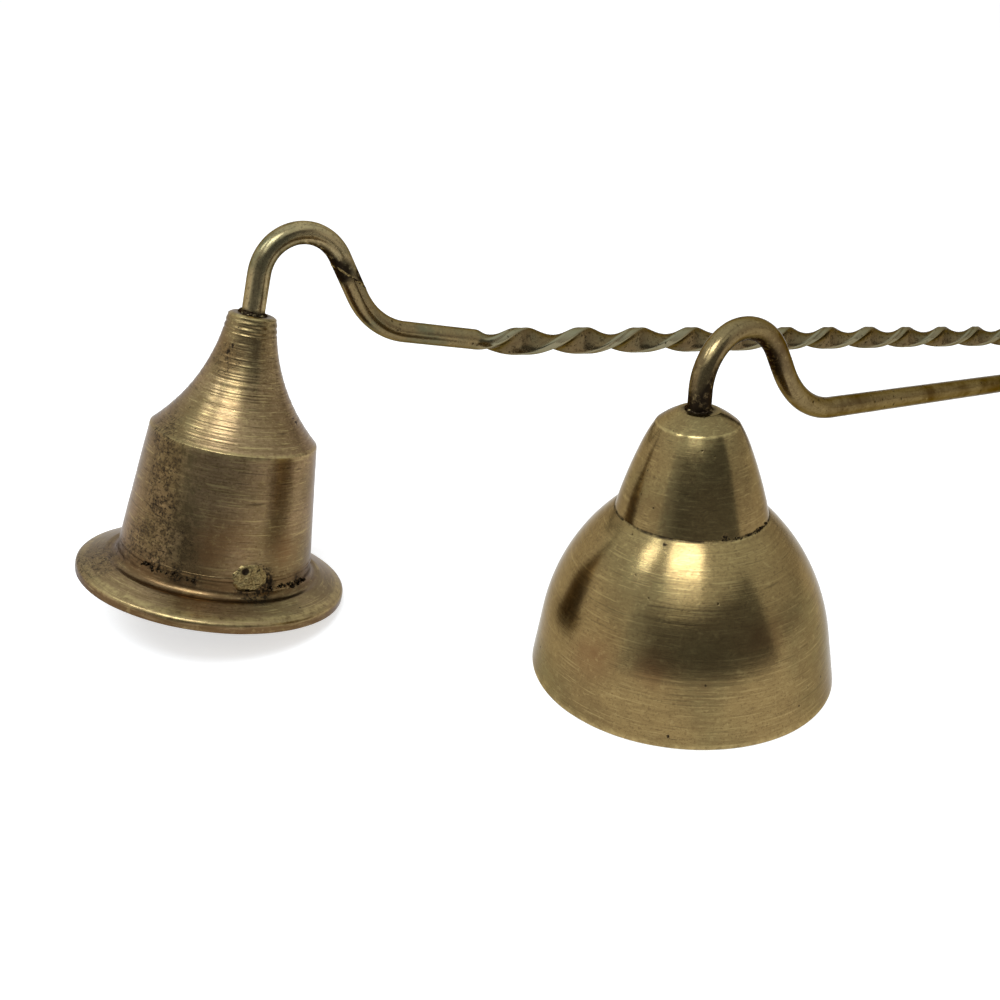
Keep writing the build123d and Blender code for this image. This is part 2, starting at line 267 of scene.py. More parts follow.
class Field:
    """A socket that takes part in sums: each operation adds a Math or Vector Math node."""

    def __init__(self, graph, socket):
        self.graph = graph
        self.socket = socket

    def out(self, name):
        """Another output of the same node."""
        return Field(self.graph, self.socket.node.outputs[name])

    @staticmethod
    def holds_vector(term):
        return isinstance(term, Field) and term.socket.type == "VECTOR"

    def combine(self, operation, first, second):
        kind, sockets = "ShaderNodeMath", {0: first, 1: second}
        if self.holds_vector(first) or self.holds_vector(second):
            kind = "ShaderNodeVectorMath"
            if operation == "MULTIPLY":
                vector, factor = (first, second) if self.holds_vector(first) else (second, first)
                operation, sockets = "SCALE", {0: vector, "Scale": factor}
        return self.graph.add(kind, {"operation": operation}, sockets)

    def __add__(self, other):
        return self.combine("ADD", self, other)

    def __radd__(self, other):
        return self.combine("ADD", other, self)

    def __sub__(self, other):
        return self.combine("SUBTRACT", self, other)

    def __rsub__(self, other):
        return self.combine("SUBTRACT", other, self)

    def __mul__(self, other):
        return self.combine("MULTIPLY", self, other)

    def __rmul__(self, other):
        return self.combine("MULTIPLY", other, self)

    def __truediv__(self, other):
        return self.combine("DIVIDE", self, other)

    def __rtruediv__(self, other):
        return self.combine("DIVIDE", other, self)

    def __pow__(self, other):
        return self.combine("POWER", self, other)

    def function(self, operation, *others):
        """A one-sided Math operation, such as SINE, ABSOLUTE or SQRT."""
        sockets = dict(enumerate((self, *others)))
        return self.graph.add("ShaderNodeMath", {"operation": operation}, sockets)

    def parts(self):
        """The three parts of a vector."""
        first = self.graph.add("ShaderNodeSeparateXYZ", {}, {0: self})
        return first, first.out("Y"), first.out("Z")

    def cross(self, other):
        return self.graph.add("ShaderNodeVectorMath", {"operation": "CROSS_PRODUCT"}, {0: self, 1: other})

    def rise(self, low, high):
        """Smoothly from 0 at low to 1 at high."""
        sockets = {"Value": self, "From Min": low, "From Max": high}
        return self.graph.add("ShaderNodeMapRange", {"interpolation_type": "SMOOTHSTEP"}, sockets)

    def fall(self, low, high):
        """Smoothly from 1 at low to 0 at high."""
        return 1 - self.rise(low, high)


class Graph:
    """A node tree that is written as expressions on its sockets."""

    def __init__(self, tree):
        self.tree = tree
        tree.nodes.clear()

    def add(self, kind, settings=None, sockets=None, output=0):
        """A node of that kind, its settings set first, then its sockets; gives one output."""
        node = self.tree.nodes.new(kind)
        for key, value in (settings or {}).items():
            setattr(node, key, value)
        for key, value in (sockets or {}).items():
            if isinstance(value, Field):
                self.tree.links.new(value.socket, node.inputs[key])
            else:
                node.inputs[key].default_value = value
        return Field(self, node.outputs[output]) if len(node.outputs) else node

    def vector(self, x, y, z):
        return self.add("ShaderNodeCombineXYZ", {}, {0: x, 1: y, 2: z})

    def noise(self, where, scale, detail=2.0, roughness=0.5):
        sockets = {"Vector": where, "Scale": scale, "Detail": detail, "Roughness": roughness}
        return self.add("ShaderNodeTexNoise", {}, sockets)

    def cells(self, where, scale):
        """Distance to the nearest of many scattered points."""
        return self.add("ShaderNodeTexVoronoi", {}, {"Vector": where, "Scale": scale}, "Distance")

    def mix(self, factor, first, second):
        """Two colours mixed."""
        sockets = {0: factor, 6: first, 7: second}
        return self.add("ShaderNodeMix", {"data_type": "RGBA"}, sockets, 2)


def rgba(linear):
    """A colour property as a socket's value."""
    return (*linear, 1.0)


def node_material(name):
    """A material that is made of nodes."""
    material = bpy.data.materials.new(name)
    material.use_nodes = True
    return material


class Brass(Graph):
    """A brass material: mixes its colours, then ends in one Principled shader with bump."""

    def __init__(self, name, finish):
        self.material = node_material(name)
        super().__init__(self.material.node_tree)
        self.finish = finish

    def local(self, place):
        """Object coordinates in millimetres, in a piece's own frame."""
        inward = place.inverted()
        sockets = {
            "Vector": self.add("ShaderNodeTexCoord", {}, {}, "Object"),
            "Location": inward.to_translation() / MM,
            "Rotation": inward.to_euler(),
            "Scale": (1 / MM,) * 3,
        }
        return self.add("ShaderNodeMapping", {"vector_type": "POINT"}, sockets)

    def near(self, spot, point, inner, outer):
        """1 close to a point, falling to 0, in the units of the coordinates."""
        away = self.add("ShaderNodeVectorMath", {"operation": "DISTANCE"}, {0: spot, 1: point}, "Value")
        return away.fall(inner, outer)

    def close(self, base, roughness, height, depth, tint, stretch=0.0):
        """The shader, with bump of a depth in metres and highlights stretched across the tool marks."""
        bump = self.add("ShaderNodeBump", {}, {"Strength": 1.0, "Distance": depth, "Height": height})
        sockets = {
            "Base Color": base,
            "Roughness": roughness,
            "Metallic": 1.0,
            "Normal": bump,
            "Specular Tint": rgba(tint),
            "Anisotropic": stretch,
            "Anisotropic Rotation": 0.25,
        }
        shader = self.add("ShaderNodeBsdfPrincipled", {}, sockets)
        self.add("ShaderNodeOutputMaterial", {}, {"Surface": shader})
        return self.material


def turned_brass(
    name, finish, place, bare, glancing, dull, marks, brushed, grubby,
    edges, seams, bands, pits, dirty, corroded, stains, olive,
):
    """Brass from the lathe: rings of tool marks, patina, bright edges, dark seams and pin-holes.

    Lengths are in millimetres. Edges, seams and brown bands are rings of (radius, height, reach);
    pits, corroded areas, stains and olive patches are (point, radius), where a pit may be a spot of painted
    shadow and an olive patch may also paint a dark reflection band;
    places of dirt and shadow are (point, inner, outer), where such a place may be painted shadow.
    Glancing is the tint of glancing light and dull the least roughness; marks, brushed and grubby
    say how strong the rings, the fine strokes and the dark smears are.
    """
    brass = Brass(name, finish)
    spot = brass.local(place)
    x, y, z = spot.parts()
    radius = (x * x + y * y).function("SQRT").function("MAXIMUM", 0.05)
    profile = z - radius

    def ringed(around, across, detail, roughness):
        where = brass.vector(x / radius * around, y / radius * around, profile * across)
        return brass.noise(where, 1.0, detail, roughness)

    broad = ringed(around=0.8, across=0.9, detail=5.0, roughness=0.75)
    rings = ringed(around=1.5, across=2.4, detail=3.0, roughness=0.7)
    strokes = ringed(around=14.0, across=3.2, detail=2.0, roughness=0.6)
    hair = ringed(around=2.6, across=3.6, detail=1.0, roughness=0.5)
    smears = ringed(around=5.0, across=1.6, detail=4.0, roughness=0.7)
    grain = brass.noise(spot, 3.0, 3.0, 0.65)
    scuffs = brass.noise(spot, 1.1, 4.0, 0.7)
    cloud = brass.noise(spot, 0.13, 5.0, 0.65)
    cast = brass.noise(spot, 0.06, 3.0, 0.5)
    ragged = spot + brass.vector(grain - 0.5, scuffs - 0.5, strokes - 0.5) * 1.3

    def along_ring(ring_radius, ring_height, reach):
        across = (radius - ring_radius) * (radius - ring_radius)
        down = (z - ring_height) * (z - ring_height)
        return (across + down).function("SQRT").fall(reach * 0.2, reach)

    bitten = 0.0
    for point, reach in corroded:
        bitten = bitten + brass.near(ragged, point, reach * 0.3, reach)
    base = brass.mix(cast.rise(0.40, 0.66) * 0.8, rgba(bare), rgba(finish.green))
    base = brass.mix(cloud.rise(0.42, 0.70) * 0.6, base, rgba(finish.brown))
    base = brass.mix(broad.rise(0.42, 0.70) * 0.35 * marks, base, rgba(finish.brown))
    base = brass.mix(rings.fall(0.34, 0.52) * 0.5 * marks, base, rgba(finish.brown))
    base = brass.mix(strokes.fall(0.30, 0.50) * 0.45 * brushed, base, rgba(finish.brown))
    base = brass.mix(grain.fall(0.32, 0.50) * 0.7, base, rgba(finish.brown))
    base = brass.mix(strokes.rise(0.55, 0.70) * 0.3 * brushed, base, rgba(finish.worn))
    base = brass.mix(hair.rise(0.64, 0.70) * 0.5 * brushed, base, rgba(finish.worn))
    base = brass.mix(hair.fall(0.27, 0.33) * 0.5 * brushed, base, rgba(finish.tarnish_and_shade))
    for point, reach in stains:
        patch = brass.near(ragged, point, 0.0, reach) * cloud.rise(0.25, 0.60)
        base = brass.mix(patch * 0.75, base, rgba(finish.stain))
    # Olive patches: partly patina, partly a painted dark reflection band down the hat's wall.
    for point, reach in olive:
        patch = brass.near(ragged, point, reach * 0.3, reach)
        patch = patch * (scuffs * 0.6 + cloud * 0.4).rise(0.30, 0.58)
        base = brass.mix(patch * 0.8, base, rgba(finish.olive))
    for band in bands:
        smeared = along_ring(*band) * smears.rise(0.28, 0.52)
        base = brass.mix(smeared * 0.8, base, rgba(finish.collar_brown))
    base = brass.mix(scuffs.rise(0.56, 0.70) * 0.25, base, rgba(finish.worn))
    for edge in edges:
        base = brass.mix(along_ring(*edge) * scuffs.rise(0.30, 0.62) * 0.6, base, rgba(finish.worn))
    dirt = 0.0
    for seam in seams:
        dirt = dirt + along_ring(*seam) * (cloud * 0.8 + scuffs * 0.7).rise(0.58, 0.86)
    # Some of these places are painted shadow, such as the ring round the hat's braze drop.
    for point, inner, outer in dirty:
        patch = brass.near(ragged, point, inner, outer)
        dirt = dirt + patch * (grain * 0.5 + scuffs * 0.5).rise(0.44, 0.56)
    dirt = dirt + smears.rise(0.55, 0.66) * (bitten + grubby) * 0.55
    holes = brass.cells(spot, 0.62).fall(0.03, 0.12) * brass.noise(spot, 0.16, 2.0).rise(0.57, 0.64)
    holes = holes + (grain * 0.9 + scuffs * 0.35).rise(0.68, 0.78) * bitten * 0.6
    mottled = (grain * 0.5 + scuffs * 0.6).rise(0.49, 0.63) * bitten
    # Some pits are painted shadow, such as the spots at the edge of the hat's braze drop.
    for point, wide in pits:
        holes = holes + brass.near(ragged, point, wide * 0.5, wide)
    holes = holes.function("MINIMUM", 1.0)
    dirt = dirt.function("MINIMUM", 1.0)
    if corroded:
        base = brass.mix(bitten.function("MINIMUM", 1.0) * 0.35, base, rgba(finish.brown))
        base = brass.mix(mottled.function("MINIMUM", 1.0) * 0.75, base, rgba(finish.pit_brown))
    # Tarnish where seams, grime and pits are, and painted shadow where the lists place it.
    base = brass.mix((dirt * 0.95 + holes).function("MINIMUM", 1.0), base, rgba(finish.tarnish_and_shade))
    roughness = dull + 0.05 * grain + 0.08 * scuffs + 0.25 * holes + dirt * 0.25
    relief = broad * 0.5 + rings * 0.7 * marks + (strokes * 0.35 + hair * 0.5) * brushed
    relief = relief + grain * 0.12 + scuffs * 0.3 - holes * 2.0
    return brass.close(base, roughness, relief, 0.011 * MM, glancing, 0.3)


def drawn_brass(name, finish, bare, patina, dark_spots):
    """Drawn wire: lines along its length, patina in clouds, grime on its underside and in its bends."""
    brass = Brass(name, finish)
    spot = brass.local(BELL_PLACE)
    along = brass.add("ShaderNodeAttribute", {"attribute_name": "along"}, {}, "Fac") / MM
    around = brass.add("ShaderNodeAttribute", {"attribute_name": "around"}, {}, "Fac") * math.tau
    lengthwise = brass.vector(around.function("COSINE") * 2.2, around.function("SINE") * 2.2, along * 0.12)
    lines = brass.noise(lengthwise, 1.6, 4.0, 0.7)
    scuffs = brass.noise(spot, 1.3, 4.0, 0.7)
    grain = brass.noise(spot, 3.0, 3.0, 0.65)
    cloud = brass.noise(spot, 0.16, 4.0, 0.6)
    specks = brass.cells(spot, 0.9).fall(0.08, 0.26) * brass.noise(spot, 0.26, 2.0).rise(0.52, 0.60)
    base = brass.mix(cloud.rise(0.40, 0.68), rgba(bare), rgba(patina))
    base = brass.mix(lines.rise(0.48, 0.70) * 0.65, base, rgba(finish.wire_brown))
    base = brass.mix(grain.fall(0.32, 0.50) * 0.6, base, rgba(finish.wire_brown))
    base = brass.mix(scuffs.rise(0.57, 0.72) * 0.30, base, rgba(finish.worn))
    flat = brass.add("ShaderNodeAttribute", {"attribute_name": "flat"}, {}, "Fac")
    edge = around.function("COSINE").function("ABSOLUTE").rise(0.62, 0.86)
    base = brass.mix(flat * (1 - edge) * 0.55, base, rgba(finish.wire_brown))
    base = brass.mix(flat * edge * 0.6, base, rgba(finish.twist_edge))
    dirt = specks * 0.8 + flat * (1 - edge) * scuffs.rise(0.52, 0.66) * 0.7
    for point, inner, outer in dark_spots:
        dirt = dirt + brass.near(spot, point, inner, outer) * scuffs.rise(0.30, 0.50)
    dirt = dirt.function("MINIMUM", 1.0)
    base = brass.mix(dirt, base, rgba(finish.tarnish_and_shade))
    roughness = finish.roughness + 0.06 * lines + 0.08 * scuffs + 0.3 * dirt
    height = lines * 0.6 + scuffs * 0.5 + grain * 0.15 - dirt * 2.0
    return brass.close(base, roughness, height, 0.014 * MM, finish.wire_edge_tint)


def crusted_metal(name, finish, metal, grime, grain, holes=()):
    """Solder or braze: lumpy, pitted metal under flux and grime."""
    brass = Brass(name, finish)
    spot = brass.local(BELL_PLACE)
    lumps = brass.noise(spot, 1.1, 4.0, 0.65)
    grit = brass.noise(spot, 3.2, 3.0, 0.7)
    base = brass.mix(grit.rise(0.46, 0.62) * 0.5, rgba(metal), rgba(finish.worn))
    base = brass.mix(grit.fall(0.34, 0.46) * 0.7, base, rgba(finish.wire_brown))
    base = brass.mix(lumps.rise(0.66 - grime * 0.3, 0.74 - grime * 0.3), base, rgba(finish.tarnish_and_shade))
    # Painted shade in a blow-hole, darker than its shallow dent renders.
    for point, wide in holes:
        base = brass.mix(brass.near(spot, point, wide * 0.6, wide), base, rgba(finish.tarnish_and_shade))
    return brass.close(base, 0.30 + 0.2 * grit, lumps + grit * 0.6, grain, finish.wire_edge_tint)


# Turned shapes


def arc_points(start, middle, end):
    """Points of the arc through three points."""
    start, middle, end = (complex(*point) for point in (start, middle, end))
    ratio = (end - start) / (middle - start)
    centre = (middle - start) * (ratio - abs(ratio) ** 2) / (2j * ratio.imag) + start
    spoke = start - centre
    sweep = np.angle((end - centre) / spoke)
    if np.sign(np.angle((middle - centre) / spoke)) != np.sign(sweep):
        sweep -= math.copysign(math.tau, sweep)
    count = max(3, int(abs(sweep) * abs(spoke) / (4 * GRAIN)))
    spokes = centre + spoke * np.exp(1j * np.linspace(0, sweep, count + 1))
    return [(point.real, point.imag) for point in spokes]


def bulged(start, end, bulge):
    """Point beside the middle of a chord, off to its right by the bulge."""
    across, up = end[0] - start[0], end[1] - start[1]
    length = math.hypot(across, up)
    return (
        (start[0] + end[0]) / 2 + up / length * bulge,
        (start[1] + end[1]) / 2 - across / length * bulge,
    )


class Outline:
    """Half the section of a turned piece: stretches of radius and height, each of its own fineness."""

    def __init__(self, start):
        self.points = [start]
        self.steps = []

    def line(self, step, *ends):
        for end in ends:
            self.points.append(end)
            self.steps.append(step)
        return self

    def arc(self, step, middle, end):
        return self.line(step, *arc_points(self.points[-1], middle, end)[1:])

    def eased(self, ease):
        """The outline with its corners eased, as points that lie closer at the turns."""
        fine, steps = [], []
        for start, end, step in zip(self.points, self.points[1:], self.steps):
            count = max(1, round(math.dist(start, end) / GRAIN))
            for share_done in np.arange(count) / count:
                fine.append(np.array(start) + (np.array(end) - np.array(start)) * share_done)
                steps.append(step)
        on_axis = self.points[0][0] == 0
        fine, steps = np.array(fine), np.array(steps)
        reach = int(4 * ease / GRAIN)
        if on_axis:
            fine = np.vstack((fine, self.points[-1]))
            steps = np.append(steps, steps[-1])
            mirrored = fine * (-1, 1)
            padded = np.vstack((mirrored[reach:0:-1], fine, mirrored[-2 : -reach - 2 : -1]))
        else:
            padded = np.vstack((fine[-reach:], fine, fine[:reach]))
        bell = np.exp(-0.5 * (np.arange(-reach, reach + 1) * GRAIN / ease) ** 2)
        bell /= bell.sum()
        smooth = np.column_stack([np.convolve(padded[:, axis], bell, "valid") for axis in (0, 1)])
        return thinned(smooth, steps, closed=not on_axis)


def thinned(points, steps, closed):
    """Fewer points along a line: one for each step of its length, and more where it turns."""
    points_per_radian = 5.0
    following = np.roll(points, -1, axis=0) - points
    lengths = np.hypot(following[:, 0], following[:, 1])
    headings = np.unwrap(np.arctan2(following[:, 1], following[:, 0]))
    turning = np.abs(np.diff(headings, append=headings[-1]))
    if not closed:
        lengths[-1] = 0
        turning[-2:] = 0
    need = np.concatenate(([0], np.cumsum(lengths / steps + turning * points_per_radian)))
    count = int(need[-1])
    wanted = np.linspace(0, need[-1], count + 1)
    source = np.vstack((points, points[:1])) if closed else np.vstack((points, points[-1:]))
    kept = np.column_stack([np.interp(wanted, need, source[:, axis]) for axis in (0, 1)])
    return kept[:-1] if closed else kept


def everywhere(radius, height):
    """Tool marks of one depth all over."""
    return 1.0


def tool_marks(points, depth, pitch, seed, where=everywhere):
    """Uneven rings of a lathe tool along an outline, as deep as a function of radius and height says."""
    chooser = random.Random(seed)
    ahead = np.gradient(points, axis=0)
    ahead /= np.maximum(np.hypot(ahead[:, 0], ahead[:, 1]), 1e-12)[:, None]
    run = np.concatenate(([0], np.cumsum(np.hypot(*np.diff(points, axis=0).T))))
    ripple = np.zeros(len(points))
    for stretch in (0.62, 0.83, 1.0, 1.37, 1.9, 2.8):
        phase = chooser.uniform(0, math.tau)
        swell = 0.6 + 0.4 * np.sin(run / (pitch * chooser.uniform(5, 11)) + phase * 3)
        ripple += swell * np.sin(run * math.tau / (pitch * stretch) + phase) * math.sqrt(stretch)
    outward = np.column_stack((ahead[:, 1], -ahead[:, 0]))
    return points + outward * (ripple * depth / 3 * where(points[:, 0], points[:, 1]))[:, None]


def linked(name, data):
    """An object of that data, in the scene."""
    thing = bpy.data.objects.new(name, data)
    bpy.context.scene.collection.objects.link(thing)
    return thing


def new_piece(name, points, faces):
    """A mesh object of those points and faces, in the scene."""
    mesh = bpy.data.meshes.new(name)
    mesh.from_pydata([tuple(point) for point in points], [], faces)
    return linked(name, mesh)


def grid_faces(rows, columns, rows_meet=False, columns_meet=True):
    """Four-sided faces between rows of points, whose last row or column may meet the first."""
    return [
        (
            row * columns + column,
            row * columns + (column + 1) % columns,
            (row + 1) % rows * columns + (column + 1) % columns,
            (row + 1) % rows * columns + column,
        )
        for row in range(rows if rows_meet else rows - 1)
        for column in range(columns if columns_meet else columns - 1)
    ]


def path_through(name, spots):
    """A curve object through those spots, for a node tree to follow."""
    line = bpy.data.curves.new(name, "CURVE")
    line.dimensions = "3D"
    spline = line.splines.new("POLY")
    spline.points.add(len(spots) - 1)
    for point, spot in zip(spline.points, spots):
        point.co = (*spot, 1)
    return linked(name, line)


def mend(piece, sharp=math.pi):
    """Merges doubled points, turns the faces outwards and shades them smooth."""
    shape = bmesh.new()
    shape.from_mesh(piece.data)
    bmesh.ops.remove_doubles(shape, verts=shape.verts, dist=0.0005 * MM)
    bmesh.ops.dissolve_degenerate(shape, edges=shape.edges, dist=0.0002 * MM)
    bmesh.ops.recalc_face_normals(shape, faces=shape.faces)
    shape.to_mesh(piece.data)
    shape.free()
    piece.data.shade_smooth()
    piece.data.set_sharp_from_angle(angle=sharp)


def turned(name, points, place, sides, wear_depth, wear_size):
    """A piece turned from an outline, with the slight unevenness of hand work."""
    closed = points[0][0] > 1e-9
    angles = np.arange(sides) * math.tau / sides
    rings = np.stack(
        (
            points[:, :1] * np.cos(angles),
            points[:, :1] * np.sin(angles),
            np.repeat(points[:, 1:], sides, axis=1),
        ),
        axis=-1,
    )
    faces = grid_faces(len(points), sides, rows_meet=closed)
    piece = new_piece(name, rings.reshape(-1, 3), faces)
    mend(piece)
    spots = [vertex.co.copy() for vertex in piece.data.vertices]
    outward = [normal.vector.copy() for normal in piece.data.vertex_normals]
    worn = []
    for spot, normal in zip(spots, outward):
        uneven = noise.noise(spot / wear_size) + 0.4 * noise.noise(spot * 2.7 / wear_size) - 1.0
        worn.extend(spot + normal * uneven * wear_depth)
    piece.data.vertices.foreach_set("co", worn)
    piece.data.transform(place)
    return piece


def settle(piece, body, slot, material, *nodes):
    """Gives a piece its finish, its body and the solids that it stands for."""
    piece.data.materials.clear()
    piece.data.materials.append(material)
    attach(piece, body)
    if nodes:
        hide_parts(*nodes)


class BellShape:
    """Places on the bell snuffer that several pieces share."""

    def __init__(self, bell):
        self.slope = math.atan2(bell.rim_radius - bell.skirt_radius, bell.skirt_height)
        self.dome_radius = bell.dome_radius
        self.centre_x = bell.skirt_radius - bell.dome_radius * math.cos(self.slope)
        self.centre_z = bell.skirt_height - bell.dome_radius * math.sin(self.slope)
        self.seat = self.dome_at_radius(bell.cap_base_radius)
        self.seat_inner = self.dome_at_radius(bell.cap_base_radius - bell.cap_seat_width)
        self.crown_height = self.seat[1] + bell.crown_rise
        self.ceiling_height = self.crown_height - bell.wall
        self.cap_shoulder = (bell.cap_shoulder_radius, self.seat[1] + bell.cap_shoulder_rise)
        self.cap_top_height = self.seat[1] + bell.cap_top_rise

    def dome_at_radius(self, radius):
        slope = math.acos((radius - self.centre_x) / self.dome_radius)
        return (radius, self.centre_z + self.dome_radius * math.sin(slope))

    def dome_at_height(self, height, wall=0.0):
        slope = math.asin((height - self.centre_z) / (self.dome_radius - wall))
        return (self.centre_x + (self.dome_radius - wall) * math.cos(slope), height)

    def dome_between(self, low, high, wall=0.0):
        return self.dome_at_height((low[1] + high[1]) / 2, wall)


class HatShape:
    """Places on the hat snuffer that several pieces share, in its own upright frame."""

    def __init__(self, hat):
        self.collar_foot = (hat.collar_foot_radius, hat.brim_thickness + hat.brim_rise)
        self.foot = (hat.foot_radius, self.collar_foot[1] + hat.collar_rise)
        self.shoulder = (hat.shoulder_radius, self.foot[1] + hat.wall_rise)
        self.top_height = self.shoulder[1] + hat.crown_rise
        self.ceiling_height = self.shoulder[1] + hat.hollow_rise
        self.socket_height = self.top_height - hat.socket_depth
        self.fillet = hat.collar_fillet
        self.neck = (hat.foot_radius + hat.neck_flare, self.collar_foot[1] + hat.collar_neck)
        chord = Vector(self.neck) - Vector(self.collar_foot)
        inset = math.sqrt(hat.collar_fillet**2 - (chord.length / 2) ** 2)
        self.fillet_centre = (Vector(self.neck) + Vector(self.collar_foot)) / 2
        self.fillet_centre += Vector((-chord.y, chord.x)).normalized() * -inset

    def fillet_middle(self):
        """Halfway along the collar's hollow."""
        inward = (Vector(self.neck) + Vector(self.collar_foot)) / 2 - self.fillet_centre
        return tuple(self.fillet_centre + inward.normalized() * self.fillet)

    def outside(self, height):
        """Radius of the outside at a height on the collar or the wall."""
        if height >= self.foot[1]:
            done = (height - self.foot[1]) / (self.shoulder[1] - self.foot[1])
            return self.foot[0] + (self.shoulder[0] - self.foot[0]) * done
        if height >= self.neck[1]:
            done = (height - self.neck[1]) / (self.foot[1] - self.neck[1])
            return self.neck[0] + (self.foot[0] - self.neck[0]) * done
        fall = max(height, self.collar_foot[1]) - self.fillet_centre.y
        return self.fillet_centre.x - math.sqrt(self.fillet**2 - fall**2)


# Wires


class Trail:
    """A wire's line, walked in a plane: straight ahead or round a bend, with a point at each step."""

    def __init__(self, start, heading, step):
        self.points = [Vector(start)]
        self.heading = heading
        self.step = step
        self.length = 0.0

    def ahead(self, length):
        start = self.points[-1]
        direction = Vector((math.cos(self.heading), math.sin(self.heading)))
        count = max(1, round(length / self.step))
        self.points += [start + direction * (length * step / count) for step in range(1, count + 1)]
        self.length += length
        return self

    def bend(self, radius, sweep):
        """Round a bend, to the left for a positive angle."""
        side = math.copysign(radius, sweep)
        start, heading = self.points[-1], self.heading
        centre = start + Vector((-math.sin(heading), math.cos(heading))) * side
        count = max(2, round(abs(sweep) * radius / self.step))
        for step in range(1, count + 1):
            facing = heading + sweep * step / count
            self.points.append(centre + Vector((math.sin(facing), -math.cos(facing))) * side)
        self.heading += sweep
        self.length += abs(sweep) * radius
        return self

    def curve(self, name, place):
        """The line as a curve object, standing in the plane of a place's X and Z."""
        return path_through(name, [place @ Vector((spot.x, 0, spot.y)) for spot in self.points])


class NodeRecipe(Graph):
    """A Geometry Nodes tree with named inputs."""

    def __init__(self, name, inputs):
        super().__init__(bpy.data.node_groups.new(name, "GeometryNodeTree"))
        self.identifiers = {}
        for label, kind in {"Geometry": "NodeSocketGeometry", **inputs}.items():
            socket = self.tree.interface.new_socket(label, in_out="INPUT", socket_type=kind)
            self.identifiers[label] = socket.identifier
        self.tree.interface.new_socket("Geometry", in_out="OUTPUT", socket_type="NodeSocketGeometry")
        self.inputs = self.add("NodeGroupInput")

    def given(self, label):
        return self.inputs.out(label)

    def stored(self, geometry, label, kind, value):
        """The geometry with a named attribute on its points."""
        settings = {"data_type": kind, "domain": "POINT"}
        sockets = {"Geometry": geometry, "Name": label, "Value": value}
        return self.add("GeometryNodeStoreNamedAttribute", settings, sockets)

    def named(self, label, kind):
        return self.add("GeometryNodeInputNamedAttribute", {"data_type": kind}, {"Name": label})

    def close(self, geometry):
        whole = self.add("GeometryNodeRealizeInstances", {}, {"Geometry": geometry})
        sockets = {"Geometry": whole, "Material": self.given("Material")}
        finished = self.add("GeometryNodeSetMaterial", {}, sockets)
        self.add("NodeGroupOutput", {}, {"Geometry": finished})

    def run(self, source, name, **values):
        """The tree's result on an object, as a plain mesh object; the source is removed."""
        modifier = source.modifiers.new(name, "NODES")
        modifier.node_group = self.tree
        for label, value in values.items():
            modifier[self.identifiers[label.replace("_", " ").capitalize()]] = value
        evaluated = source.evaluated_get(bpy.context.evaluated_depsgraph_get())
        mesh = bpy.data.meshes.new_from_object(evaluated)
        source.modifiers.remove(modifier)
        bpy.data.objects.remove(source)
        mesh.name = name
        return linked(name, mesh)


